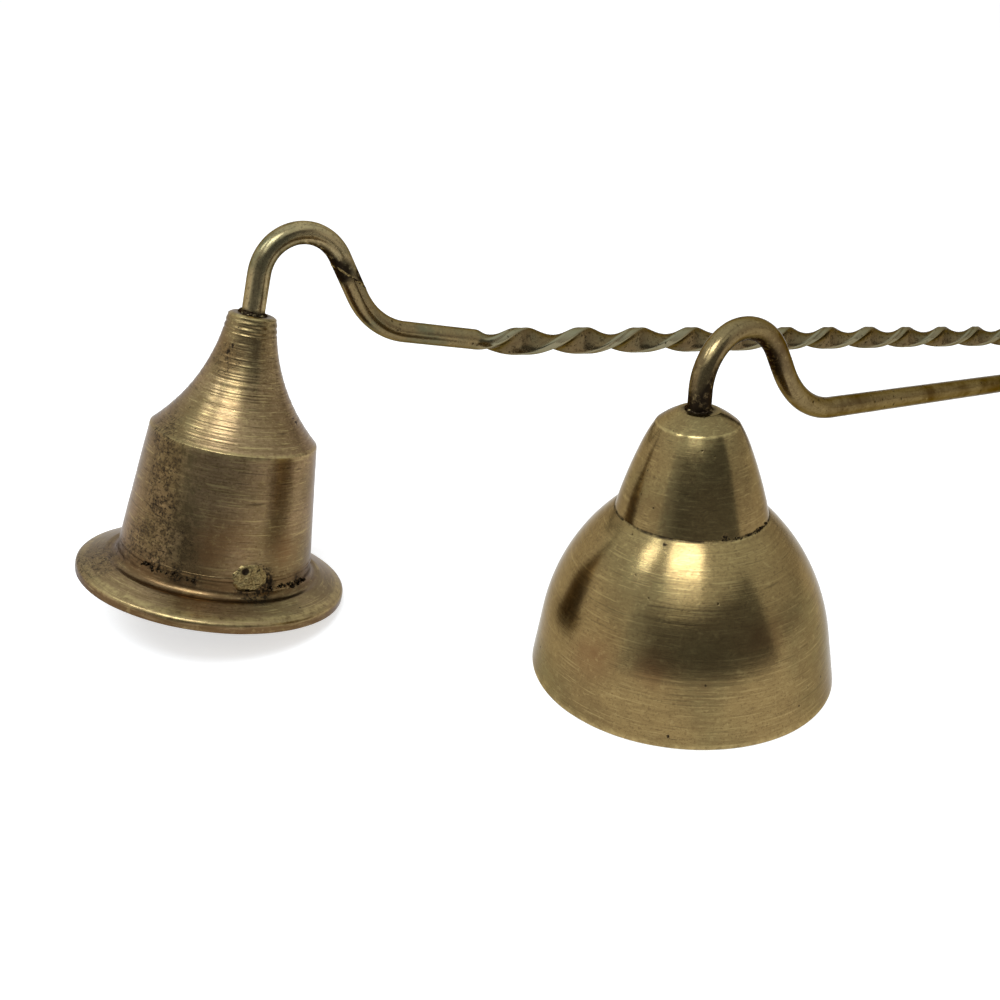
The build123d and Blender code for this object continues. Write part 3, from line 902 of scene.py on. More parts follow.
def wire_recipe():
    """Wire along a path: round, then for a stretch flattened and twisted left-handed."""
    recipe = NodeRecipe(
        "Drawn wire",
        {
            "Wire radius": "NodeSocketFloat",
            "Sides": "NodeSocketInt",
            "Sideways": "NodeSocketVector",
            "Flat half width": "NodeSocketFloat",
            "Flat half thickness": "NodeSocketFloat",
            "Flatten length": "NodeSocketFloat",
            "Twist start": "NodeSocketFloat",
            "Twist length": "NodeSocketFloat",
            "Half turn": "NodeSocketFloat",
            "Phase": "NodeSocketFloat",
            "Unevenness": "NodeSocketFloat",
            "Material": "NodeSocketMaterial",
        },
    )
    given, named = recipe.given, recipe.named
    parameter = recipe.add("GeometryNodeSplineParameter")
    position = recipe.add("GeometryNodeInputPosition")
    path = recipe.stored(given("Geometry"), "centre", "FLOAT_VECTOR", position)
    path = recipe.stored(path, "forward", "FLOAT_VECTOR", recipe.add("GeometryNodeInputTangent"))
    path = recipe.stored(path, "along", "FLOAT", parameter.out("Length"))
    circle_sockets = {"Resolution": given("Sides"), "Radius": given("Wire radius")}
    circle = recipe.add("GeometryNodeCurvePrimitiveCircle", {"mode": "RADIUS"}, circle_sockets)
    ring = recipe.stored(circle, "around", "FLOAT", parameter.out("Factor"))
    tube_sockets = {"Curve": path, "Profile Curve": ring, "Fill Caps": True}
    tube = recipe.add("GeometryNodeCurveToMesh", {}, tube_sockets)

    along = named("along", "FLOAT")
    turn = named("around", "FLOAT") * math.tau
    into_twist = along - given("Twist start")
    out_of_twist = given("Twist start") + given("Twist length") - along
    flat = into_twist.rise(given("Flatten length") * -1.0, 0.0)
    flat = flat * out_of_twist.rise(given("Flatten length") * -1.0, 0.0)
    twist_end = given("Twist length") + given("Flatten length")
    turned_by = into_twist.function("MAXIMUM", given("Flatten length") * -1.0).function("MINIMUM", twist_end)
    roll = given("Phase") - turned_by * math.pi / given("Half turn")
    wander = recipe.noise(named("centre", "FLOAT_VECTOR"), 70.0, 2.0) - 0.5
    roll = roll + wander * flat * 0.35

    squareness = 1.0 - 0.5 * flat

    def squared(value):
        return value.function("SIGN") * value.function("ABSOLUTE") ** squareness

    half_width = given("Wire radius") + (given("Flat half width") - given("Wire radius")) * flat
    half_thickness = given("Wire radius") + (given("Flat half thickness") - given("Wire radius")) * flat
    bumps = recipe.noise(recipe.add("GeometryNodeInputPosition"), 240.0, 2.0) - 1.0
    swell = 1.0 + bumps * given("Unevenness") / given("Wire radius") + wander * flat * 0.10
    wide = squared(turn.function("COSINE")) * half_width * swell
    thick = squared(turn.function("SINE")) * half_thickness * swell
    cosine, sine = roll.function("COSINE"), roll.function("SINE")
    sideways = given("Sideways")
    upwards = named("forward", "FLOAT_VECTOR").cross(sideways)
    offset = sideways * (wide * cosine - thick * sine) + upwards * (wide * sine + thick * cosine)
    place = named("centre", "FLOAT_VECTOR") + offset
    shaped = recipe.add("GeometryNodeSetPosition", {}, {"Geometry": tube, "Position": place})
    shaped = recipe.stored(shaped, "flat", "FLOAT", flat)
    for label in ("centre", "forward"):
        shaped = recipe.add("GeometryNodeRemoveAttribute", {}, {"Geometry": shaped, "Name": label})
    recipe.close(shaped)
    return recipe


def untwisted(wire_radius):
    """Inputs of a wire that stays round: its twist would start far beyond its end."""
    return dict(
        flat_half_width=wire_radius,
        flat_half_thickness=wire_radius,
        flatten_length=1.0,
        twist_start=10.0,
        half_turn=1.0,
    )


def grime_recipe():
    """Grains of burnt flux scattered along a seam."""
    recipe = NodeRecipe(
        "Seam grime",
        {
            "Grains": "NodeSocketInt",
            "Smallest": "NodeSocketFloat",
            "Largest": "NodeSocketFloat",
            "Scatter": "NodeSocketFloat",
            "Seed": "NodeSocketInt",
            "Material": "NodeSocketMaterial",
        },
    )
    given = recipe.given

    def chance(low, high, offset):
        sockets = {2: low, 3: high, "Seed": given("Seed") + offset}
        return recipe.add("FunctionNodeRandomValue", {"data_type": "FLOAT"}, sockets, 1)

    def thrown(reach, offset):
        sockets = {0: (-reach,) * 3, 1: (reach,) * 3, "Seed": given("Seed") + offset}
        return recipe.add("FunctionNodeRandomValue", {"data_type": "FLOAT_VECTOR"}, sockets)

    points = recipe.add(
        "GeometryNodeCurveToPoints",
        {"mode": "COUNT"},
        {"Curve": given("Geometry"), "Count": given("Grains")},
    )
    shift = thrown(1.0, 1) * given("Scatter")
    points = recipe.add("GeometryNodeSetPosition", {}, {"Geometry": points, "Offset": shift})
    grain = recipe.add("GeometryNodeMeshIcoSphere", {}, {"Radius": 1.0, "Subdivisions": 1})
    spin = thrown(math.pi, 2)
    squash = recipe.vector(chance(0.5, 1.0, 3), chance(0.5, 1.0, 4), chance(0.4, 0.8, 5))
    bulk = chance(0.0, 1.0, 6) ** 2.5
    scale = squash * (given("Smallest") + (given("Largest") - given("Smallest")) * bulk)
    instances = recipe.add(
        "GeometryNodeInstanceOnPoints",
        {},
        {"Points": points, "Instance": grain, "Rotation": spin, "Scale": scale},
    )
    recipe.close(instances)
    return recipe


def joined(piece, other):
    """Adds another piece's mesh to a piece, and removes the other."""
    shape = bmesh.new()
    shape.from_mesh(piece.data)
    shape.from_mesh(other.data)
    shape.to_mesh(piece.data)
    shape.free()
    bpy.data.objects.remove(other)


def cut_off(piece, point, direction, reach):
    """Cuts a piece near a point, keeps the side away from the direction and closes the cut."""
    shape = bmesh.new()
    shape.from_mesh(piece.data)
    faces = [face for face in shape.faces if (face.calc_center_median() - point).length < reach]
    edges = {edge for face in faces for edge in face.edges}
    corners = {corner for face in faces for corner in face.verts}
    geometry = [*corners, *edges, *faces]
    cut = bmesh.ops.bisect_plane(shape, geom=geometry, plane_co=point, plane_no=direction, clear_outer=True)
    edges = [item for item in cut["geom_cut"] if isinstance(item, bmesh.types.BMEdge)]
    bmesh.ops.contextual_create(shape, geom=edges)
    shape.to_mesh(piece.data)
    shape.free()


def settings():
    """What a user may change, as the scene holds it."""
    return bpy.context.scene.snuffers


class Finishes:
    """The materials, made once and kept by name."""

    made = {}

    @classmethod
    def get(cls, name, maker, *details, **more):
        if name not in cls.made:
            cls.made[name] = maker(name, *details, **more)
        return cls.made[name]


def millimetres(*lengths):
    """Lengths as the materials count them."""
    return tuple(length / MM for length in lengths)


def bell_brass():
    """Finish of the bell and its cap."""
    bell, finish = settings().bell, settings().finish
    shape = BellShape(bell)
    return Finishes.get(
        "turned_bell_brass",
        turned_brass,
        finish,
        BELL_PLACE,
        bare=finish.bare,
        glancing=finish.edge_tint,
        dull=finish.roughness,
        marks=0.6,
        brushed=0.6,
        grubby=0.0,
        edges=[
            (*millimetres(bell.rim_radius, 0.0), 0.9),
            (*millimetres(*shape.cap_shoulder), 0.35),
        ],
        seams=[
            (*millimetres(*shape.seat), 0.30),
            (*millimetres(bell.wire / 2, shape.cap_top_height), 1.1),
        ],
        bands=[],
        pits=[
            ((-9.45, -4.2, 22.12), 0.34),
            ((-4.67, -0.44, 34.3), 0.32),
            ((-15.63, -12.02, 1.48), 0.28),
            ((-3.96, -8.72, 23.16), 0.40),
        ],
        dirty=[],
        corroded=[],
        stains=[((-5.2, -16.1, 12.8), 4.6), ((-15.5, -9.2, 9.8), 4.0), ((-18.4, -1.0, 9.0), 5.0)],
        olive=[],
    )


def hat_brass():
    """Finish of the hat and its brim."""
    hat, finish = settings().hat, settings().finish
    shape = HatShape(hat)
    return Finishes.get(
        "turned_hat_brass",
        turned_brass,
        finish,
        HAT_PLACE,
        bare=finish.hat_bare,
        glancing=finish.hat_edge_tint,
        dull=finish.hat_roughness,
        marks=1.0,
        brushed=1.0,
        grubby=0.22,
        edges=[
            (*millimetres(*shape.shoulder), 0.7),
            (*millimetres(hat.brim_radius, hat.brim_thickness), 0.5),
            (*millimetres(hat.brim_radius - 0.9 * MM, hat.brim_thickness + 0.3 * MM), 0.8),
            (*millimetres(hat.top_radius, shape.top_height), 0.9),
        ],
        seams=[
            (*millimetres(hat.wire / 2, shape.top_height), 1.4),
        ],
        bands=[
            (*millimetres(*shape.neck), 3.1),
            (*millimetres(hat.brim_radius, hat.brim_thickness * 0.3), 1.1),
        ],
        pits=[
            ((6.19, -5.87, 25.57), 0.40),
            ((5.68, -5.72, 26.22), 0.30),
            ((-3.35, -2.32, 34.9), 0.40),
            ((-3.74, -2.26, 33.9), 0.45),
            # The next two are painted shadow at the right and lower edge of the braze drop, not pits.
            ((2.3, -13.6, 5.0), 0.8),
            ((1.3, -14.0, 4.1), 0.7),
        ],
        dirty=[
            # The first place is painted shadow round the braze drop, reaching furthest below it and to its
            # right; the rest are grime along the collar.
            ((0.3, -13.8, 4.9), 2.2, 3.6),
            ((-11.7, -6.75, 5.4), 0.5, 2.0),
            ((-9.6, -9.4, 5.0), 0.3, 1.6),
            ((-7.4, -11.2, 4.7), 0.2, 1.3),
            ((7.6, -11.4, 4.2), 0.3, 1.8),
        ],
        corroded=[
            ((-11.3, -4.6, 20.0), 5.0),
            ((-11.3, -4.6, 15.5), 5.5),
            ((-10.4, -6.9, 11.0), 5.5),
            ((-9.6, -8.6, 7.5), 5.0),
            ((-13.0, -3.0, 7.5), 4.5),
            ((-16.3, 2.4, 2.3), 7.5),
            ((-10.5, -1.1, 23.1), 4.0),
            ((-3.9, -2.4, 33.0), 3.4),
        ],
        stains=[
            ((-5.5, -12.0, 10.0), 6.5),
            ((-9.0, -13.0, 3.5), 3.4),
            ((-6.8, -10.8, 9.0), 4.0),
            ((4.5, -12.2, 9.0), 5.0),
            ((-3.9, -2.4, 33.4), 3.4),
        ],
        # A vertical column down the wall's left: partly patina, partly a painted dark reflection band.
        olive=[
            ((-9.8, -6.2, 20.5), 3.4),
            ((-9.6, -7.4, 16.5), 3.6),
            ((-9.4, -8.4, 12.5), 3.6),
            ((-9.0, -9.4, 8.5), 2.2),
            ((-12.0, -5.4, 9.5), 3.6),
        ],
    )


class SNUFFER_OT_bell_cup(bpy.types.Operator):
    """Turn the bell"""

    bl_idname = "snuffer.bell_cup"
    bl_label = "Bell"

    def execute(self, context):
        bell, shared = settings().bell, settings().shared
        shape = BellShape(bell)
        skirt = (bell.skirt_radius, bell.skirt_height)
        skirt_inside = (
            bell.skirt_radius - bell.wall * math.cos(shape.slope),
            bell.skirt_height - bell.wall * math.sin(shape.slope),
        )
        lip_height = skirt_inside[1] - (bell.bore_radius - skirt_inside[0]) / math.tan(shape.slope)
        crown_outside = shape.dome_at_height(shape.crown_height)
        crown_inside = shape.dome_at_height(shape.ceiling_height, bell.wall)
        fine, coarse = 0.16 * MM, 0.6 * MM
        outline = Outline((bell.bore_radius, 0.0))
        outline.line(coarse, (bell.rim_radius, 0.0)).line(fine, skirt)
        outline.arc(fine, shape.dome_between(skirt, crown_outside), crown_outside)
        outline.line(coarse, (bell.wire / 2, shape.crown_height), (bell.wire / 2, shape.ceiling_height))
        outline.line(coarse, crown_inside)
        outline.arc(coarse, shape.dome_between(skirt_inside, crown_inside, bell.wall), skirt_inside)
        outline.line(coarse, (bell.bore_radius, lip_height), (bell.bore_radius, 0.0))
        eased = outline.eased(shared.corner_ease)
        points = tool_marks(eased, depth=0.0035 * MM, pitch=0.85 * MM, seed=3)
        wear = dict(wear_depth=0.025 * MM, wear_size=9 * MM)
        piece = turned("bell_cup_turned", points, BELL_PLACE, sides=240, **wear)
        settle(piece, BELL_BODY, "bell_brass", bell_brass(), "bell_cup")
        return {"FINISHED"}


class SNUFFER_OT_bell_cap(bpy.types.Operator):
    """Turn the cap on the bell"""

    bl_idname = "snuffer.bell_cap"
    bl_label = "Bell cap"

    def execute(self, context):
        bell, shared = settings().bell, settings().shared
        shape = BellShape(bell)
        top = (bell.cap_top_radius, shape.cap_top_height)
        hollow_height = shape.seat[1] + bell.cap_hollow_rise
        fine, coarse = 0.14 * MM, 0.5 * MM
        outline = Outline(shape.seat_inner)
        outline.arc(coarse, shape.dome_between(shape.seat, shape.seat_inner), shape.seat)
        waist = (bell.cap_waist_radius, shape.seat[1] + bell.cap_waist_rise)
        outline.arc(fine, bulged(shape.seat, waist, bell.cap_bulge), waist)
        outline.arc(fine, bulged(waist, shape.cap_shoulder, bell.cap_bulge * 0.75), shape.cap_shoulder)
        outline.arc(fine, bulged(shape.cap_shoulder, top, bell.cap_dome_bulge), top)
        outline.line(coarse, (bell.wire / 2, shape.cap_top_height), (bell.wire / 2, hollow_height))
        outline.line(coarse, (bell.cap_hollow_radius, hollow_height), shape.seat_inner)
        crisp = outline.eased(shared.corner_ease * 0.6)
        points = tool_marks(crisp, depth=0.0035 * MM, pitch=0.8 * MM, seed=8)
        wear = dict(wear_depth=0.02 * MM, wear_size=7 * MM)
        piece = turned("bell_cap_turned", points, BELL_PLACE, sides=176, **wear)
        settle(piece, BELL_BODY, "bell_brass", bell_brass(), "bell_cap")
        return {"FINISHED"}


class SNUFFER_OT_bell_handle(bpy.types.Operator):
    """Bend the bell's wire"""

    bl_idname = "snuffer.bell_handle"
    bl_label = "Bell handle"

    def execute(self, context):
        bell, shared, finish = settings().bell, settings().shared, settings().finish
        shape = BellShape(bell)
        wire_radius = bell.wire / 2
        eye_radius = shared.eye_opening / 2 + wire_radius
        eye_lift = wire_radius + eye_radius * (1 - math.cos(bell.droop))
        trail = Trail((0.0, shape.ceiling_height), math.pi / 2, 0.45 * MM)
        trail.ahead(shape.cap_top_height + bell.neck_rise - shape.ceiling_height)
        trail.bend(bell.hook_radius, -math.pi / 2).bend(bell.shoulder_radius, -bell.leg_angle)
        trail.ahead(bell.leg_length).bend(bell.bend_radius, bell.leg_angle - bell.droop)
        trail.ahead((trail.points[-1].y - eye_lift) / math.sin(bell.droop))
        trail.bend(eye_radius, shared.eye_sweep)
        bend_spot = Vector((23.5, 38.5)) * MM
        arch_height = shape.cap_top_height + bell.neck_rise
        wider = bell.shoulder_radius - bell.hook_radius
        hollow = (bell.hook_radius - wire_radius) / MM
        wide_hollow = (bell.shoulder_radius - wire_radius) / MM
        dark_spots = [
            (millimetres(0.0, 0.0, shape.cap_top_height), 1.3, 1.55),
            (millimetres(bend_spot.x, 0.0, bend_spot.y), 0.6, 2.6),
            (millimetres(bell.hook_radius, 0.0, arch_height), hollow + 0.1, hollow + 1.2),
            (millimetres(bell.hook_radius, 0.0, arch_height - wider), wide_hollow + 0.1, wide_hollow + 1.3),
        ]
        material = Finishes.get(
            "drawn_bell_wire", drawn_brass, finish, finish.wire_bare, finish.wire_brown, dark_spots
        )
        piece = wire_recipe().run(
            trail.curve("bell_wire_path", BELL_PLACE),
            "bell_handle_wire",
            wire_radius=wire_radius,
            sides=32,
            sideways=(0.0, 1.0, 0.0),
            unevenness=0.05 * MM,
            material=material,
            **untwisted(wire_radius),
        )
        peen_dome = (bell.peen_radius**2 + bell.peen_height**2) / (2 * bell.peen_height)
        edge = (bell.peen_radius, shape.ceiling_height)
        foot = shape.ceiling_height - bell.peen_height
        halfway = math.asin(bell.peen_radius / peen_dome) / 2
        belly = (peen_dome * math.sin(halfway), foot + peen_dome * (1 - math.cos(halfway)))
        outline = Outline((0.0, foot)).arc(0.2 * MM, belly, edge).line(0.3 * MM, (0.0, shape.ceiling_height))
        wear = dict(wear_depth=0.05 * MM, wear_size=1.5 * MM)
        peen = turned("bell_peen", outline.eased(0.06 * MM), BELL_PLACE, sides=64, **wear)
        joined(piece, peen)
        mend(piece, math.radians(50))
        settle(piece, BELL_BODY, "bell_wire_brass", material, "bell_handle")
        return {"FINISHED"}


def solder_bead(name, place, wire_radius, height, fullness, seed):
    """A lumpy bead of solder round a wire."""
    shared = settings().shared
    width, rise = shared.solder_width * fullness, shared.solder_height * fullness
    outside = wire_radius + width
    inside = wire_radius - 0.1 * MM
    low = height - 0.12 * MM
    middle = (wire_radius + width * 0.62, height + rise * 0.62)
    outline = Outline((inside, low)).line(0.12 * MM, (outside, low))
    outline.arc(0.08 * MM, middle, (wire_radius, height + rise))
    outline.line(0.12 * MM, (inside, height + rise), (inside, low))
    unworn = dict(wear_depth=0.0, wear_size=1.0 * MM)
    bead = turned(name, outline.eased(0.05 * MM), Matrix.Identity(4), sides=120, **unworn)
    shift = Vector((seed * 3.1, seed * 1.7, 0.0))
    for vertex in bead.data.vertices:
        out = Vector((vertex.co.x, vertex.co.y, 0.0))
        lump = 0.75 + 0.55 * noise.noise(out * 700 + shift) + 0.25 * noise.noise(vertex.co * 2400 + shift)
        reach = max(out.length - inside, 0.0) * lump
        climb = max(vertex.co.z - low, 0.0) * lump
        vertex.co = out.normalized() * (inside + reach) + Vector((0.0, 0.0, low + climb))
    bead.data.transform(place)
    return bead


class SNUFFER_OT_solder(bpy.types.Operator):
    """Run solder round both wires where they enter the cups"""

    bl_idname = "snuffer.solder"
    bl_label = "Solder"

    def execute(self, context):
        bell, hat, finish = settings().bell, settings().hat, settings().finish
        material = Finishes.get(
            "old_solder", crusted_metal, finish, finish.solder, grime=0.9, grain=0.05 * MM
        )
        bell_top, hat_top = BellShape(bell).cap_top_height, HatShape(hat).top_height
        bead = solder_bead("bell_solder_bead", BELL_PLACE, bell.wire / 2, bell_top, fullness=0.4, seed=2)
        settle(bead, BELL_BODY, "solder", material, "bell_solder")
        bead = solder_bead("hat_solder_bead", HAT_PLACE, hat.wire / 2, hat_top, fullness=0.55, seed=5)
        settle(bead, HAT_BODY, "solder", material, "hat_solder")
        return {"FINISHED"}


class SNUFFER_OT_hat_cup(bpy.types.Operator):
    """Turn the hat"""

    bl_idname = "snuffer.hat_cup"
    bl_label = "Hat"

    def execute(self, context):
        hat, shared = settings().hat, settings().shared
        shape = HatShape(hat)
        wire_radius = hat.wire / 2
        top = (hat.top_radius, shape.top_height)
        edge = hat.top_edge
        below_edge = (hat.top_radius + 0.12 * edge, shape.top_height - edge)
        on_edge = (hat.top_radius - 0.22 * edge, shape.top_height - 0.26 * edge)
        ring_step, fine, coarse = 0.085 * MM, 0.2 * MM, 0.7 * MM
        outline = Outline((0.0, shape.ceiling_height))
        outline.line(coarse, (hat.hollow_radius, shape.ceiling_height))
        inside_shoulder = (hat.shoulder_radius - hat.wall, shape.shoulder[1])
        outline.line(coarse, inside_shoulder, (hat.bore_radius, shape.foot[1]))
        outline.line(coarse, shape.foot).line(fine, shape.shoulder)
        outline.arc(ring_step, bulged(shape.shoulder, below_edge, -hat.crown_sag), below_edge)
        outline.arc(ring_step, on_edge, (hat.top_radius - edge, shape.top_height))
        outline.line(fine, (wire_radius, shape.top_height))
        outline.line(coarse, (wire_radius, shape.socket_height), (0.0, shape.socket_height))

        def on_crown(radius, height):
            climbed = (height - shape.shoulder[1]) / hat.crown_rise
            low_rings = np.clip(1.3 - climbed * 1.2, 0.3, 1.0)
            ringed = (height > shape.shoulder[1]) & (radius > wire_radius + 0.3 * MM)
            return np.where(ringed, low_rings, 0.10)

        eased = outline.eased(shared.corner_ease * 0.9)
        points = tool_marks(eased, depth=0.027 * MM, pitch=0.46 * MM, seed=5, where=on_crown)
        ridge_pitch, ridge_depth, ridged = 0.85 * MM, 0.05 * MM, 2.7 * MM
        below = shape.top_height - points[:, 1]
        outside = (points[:, 0] > wire_radius + 0.8 * MM) & (below > 0.3 * MM) & (below < ridged)
        points[:, 0] += outside * ridge_depth * np.sin(below * math.tau / ridge_pitch)
        wear = dict(wear_depth=0.03 * MM, wear_size=6 * MM)
        piece = turned("hat_cup_turned", points, HAT_PLACE, sides=208, **wear)
        settle(piece, HAT_BODY, "hat_brass", hat_brass(), "hat_cup")
        return {"FINISHED"}


class SNUFFER_OT_hat_brim(bpy.types.Operator):
    """Turn the brim and its collar"""

    bl_idname = "snuffer.hat_brim"
    bl_label = "Hat brim"

    def execute(self, context):
        hat, shared = settings().hat, settings().shared
        shape = HatShape(hat)
        fine, coarse = 0.16 * MM, 0.5 * MM
        outline = Outline((hat.bore_radius, 0.0))
        slope = hat.brim_rise / (hat.brim_radius - hat.collar_foot_radius)
        rounding = hat.brim_edge
        below_edge = (hat.brim_radius, hat.brim_thickness - rounding * 0.8)
        past_edge = (hat.brim_radius - rounding, hat.brim_thickness + rounding * slope)
        on_edge = (hat.brim_radius - rounding * 0.24, hat.brim_thickness - rounding * 0.12)
        outline.line(coarse, (hat.brim_radius, 0.0)).line(fine, below_edge)
        outline.arc(0.5 * fine, on_edge, past_edge).line(fine, shape.collar_foot)
        outline.arc(fine, shape.fillet_middle(), shape.neck).line(fine, shape.foot)
        outline.line(coarse, (hat.bore_radius, shape.foot[1]), (hat.bore_radius, 0.0))
        eased = outline.eased(shared.corner_ease * 1.6)
        points = tool_marks(eased, depth=0.006 * MM, pitch=0.7 * MM, seed=11)
        wear = dict(wear_depth=0.03 * MM, wear_size=7 * MM)
        piece = turned("hat_brim_turned", points, HAT_PLACE, sides=240, **wear)
        settle(piece, HAT_BODY, "hat_brass", hat_brass(), "hat_brim")
        return {"FINISHED"}


def braze_drop(shape, hat):
    """The flat drop of braze on the collar, with a blow-hole in it, and the place of the hole."""
    rings, spokes = 32, 96
    points = []
    hole = Vector((-0.34, 0.52))

    def on_hat(spot, swell):
        height = shape.foot[1] + 0.35 * MM + spot.y * hat.drop_height / 2
        around = hat.drop_angle + spot.x * hat.drop_width / 2 / hat.foot_radius
        radius = shape.outside(height) + swell
        return Vector((radius * math.cos(around), radius * math.sin(around), height))

    for ring in range(rings + 1):
        for spoke in range(spokes):
            facing = math.tau * spoke / spokes
            rim = Vector((math.cos(facing), math.sin(facing), 4.0))
            ragged = 1 + 0.16 * noise.noise(rim * 1.4) + 0.10 * noise.noise(rim * 4.3)
            out = ring / rings
            spot = Vector((math.cos(facing), math.sin(facing))) * out * ragged
            swell = hat.drop_swell * (1 - out**5) - 0.14 * MM * out**8
            swell += 0.16 * MM * noise.noise((spot.x * 3.1, spot.y * 3.1, 9.0)) * (1 - out**4)
            swell += 0.09 * MM * noise.noise((spot.x * 9.0, spot.y * 9.0, 2.0)) * (1 - out**4)
            away = (spot - hole).length
            swell += (0.03 * MM - swell) * math.exp(-((away / 0.17) ** 2))
            points.append(on_hat(spot, swell))
    faces = grid_faces(rings + 1, spokes)
    faces.append([rings * spokes + spoke for spoke in reversed(range(spokes))])
    drop = new_piece("braze_drop", points, faces)
    mend(drop, math.radians(60))
    drop.data.transform(HAT_PLACE)
    return drop, tuple(HAT_PLACE @ on_hat(hole, 0.0) / MM)


class SNUFFER_OT_braze(bpy.types.Operator):
    """Braze the brim to the hat and leave a drop at the front"""

    bl_idname = "snuffer.braze"
    bl_label = "Brim braze"

    def execute(self, context):
        hat, finish = settings().hat, settings().finish
        shape = HatShape(hat)
        sides, rings = 20, 420
        points = []
        for ring in range(rings):
            around = math.tau * ring / rings
            swing = Vector((math.cos(around) * 3.0, math.sin(around) * 3.0, 2.0))
            bead = hat.bead * (0.9 + 0.3 * noise.noise(swing) + 0.2 * noise.noise(swing * 4))
            for side in range(sides):
                facing = math.tau * side / sides
                radius = shape.foot[0] - 0.08 * MM + bead * 0.22 * math.cos(facing)
                height = shape.foot[1] + bead * math.sin(facing)
                points.append((radius * math.cos(around), radius * math.sin(around), height))
        faces = grid_faces(rings, sides, rows_meet=True)
        piece = new_piece("brim_braze_bead", points, faces)
        piece.data.transform(HAT_PLACE)
        mend(piece, math.radians(60))
        settle(piece, HAT_BODY, "braze", hat_brass(), "brim_braze")
        drop, hole = braze_drop(shape, hat)
        # The drop's blow-hole, painted dark as shade beyond what its dent shows.
        holes = [(hole, 0.7)]
        material = Finishes.get(
            "pitted_braze", crusted_metal, finish, finish.braze, grime=0.3, grain=0.06 * MM, holes=holes
        )
        settle(drop, HAT_BODY, "braze", material)
        return {"FINISHED"}


def hat_trails(hat, shared):
    """The lines of the hook and of the handle, and how far along the handle its twist starts."""
    shape = HatShape(hat)
    step = 0.4 * MM
    hook = Trail((0.0, shape.socket_height), math.pi / 2, step)
    hook.ahead(shape.top_height + hat.neck_rise - shape.socket_height)
    hook.bend(hat.hook_radius, -hat.leg_angle - math.pi / 2)
    handle = Trail(hook.points[-1], hook.heading, step)
    hook.ahead(hat.leg_length)
    handle.ahead(hat.leg_length).bend(hat.bend_radius, hat.leg_angle).ahead(hat.run_length)
    handle.bend(hat.lift_radius, hat.lift)
    twist_start = handle.length + hat.flatten_length
    wire_radius = hat.wire / 2
    eye_radius = shared.eye_opening / 2 + wire_radius
    slope = HAT_PLACE.to_3x3().col[2].angle(Vector((0.0, 0.0, 1.0))) - hat.lift
    eye_lift = wire_radius + eye_radius * (1 - math.cos(slope))
    lifted = HAT_PLACE @ Vector((handle.points[-1].x, 0.0, handle.points[-1].y))
    handle_length = (lifted.z - eye_lift) / math.sin(slope)
    half_turns = (handle_length - 2 * hat.flatten_length - hat.plain_end) // hat.half_turn
    twist_length = half_turns * hat.half_turn
    handle.ahead(handle_length).bend(eye_radius, shared.eye_sweep)
    return hook, handle, twist_start, twist_length


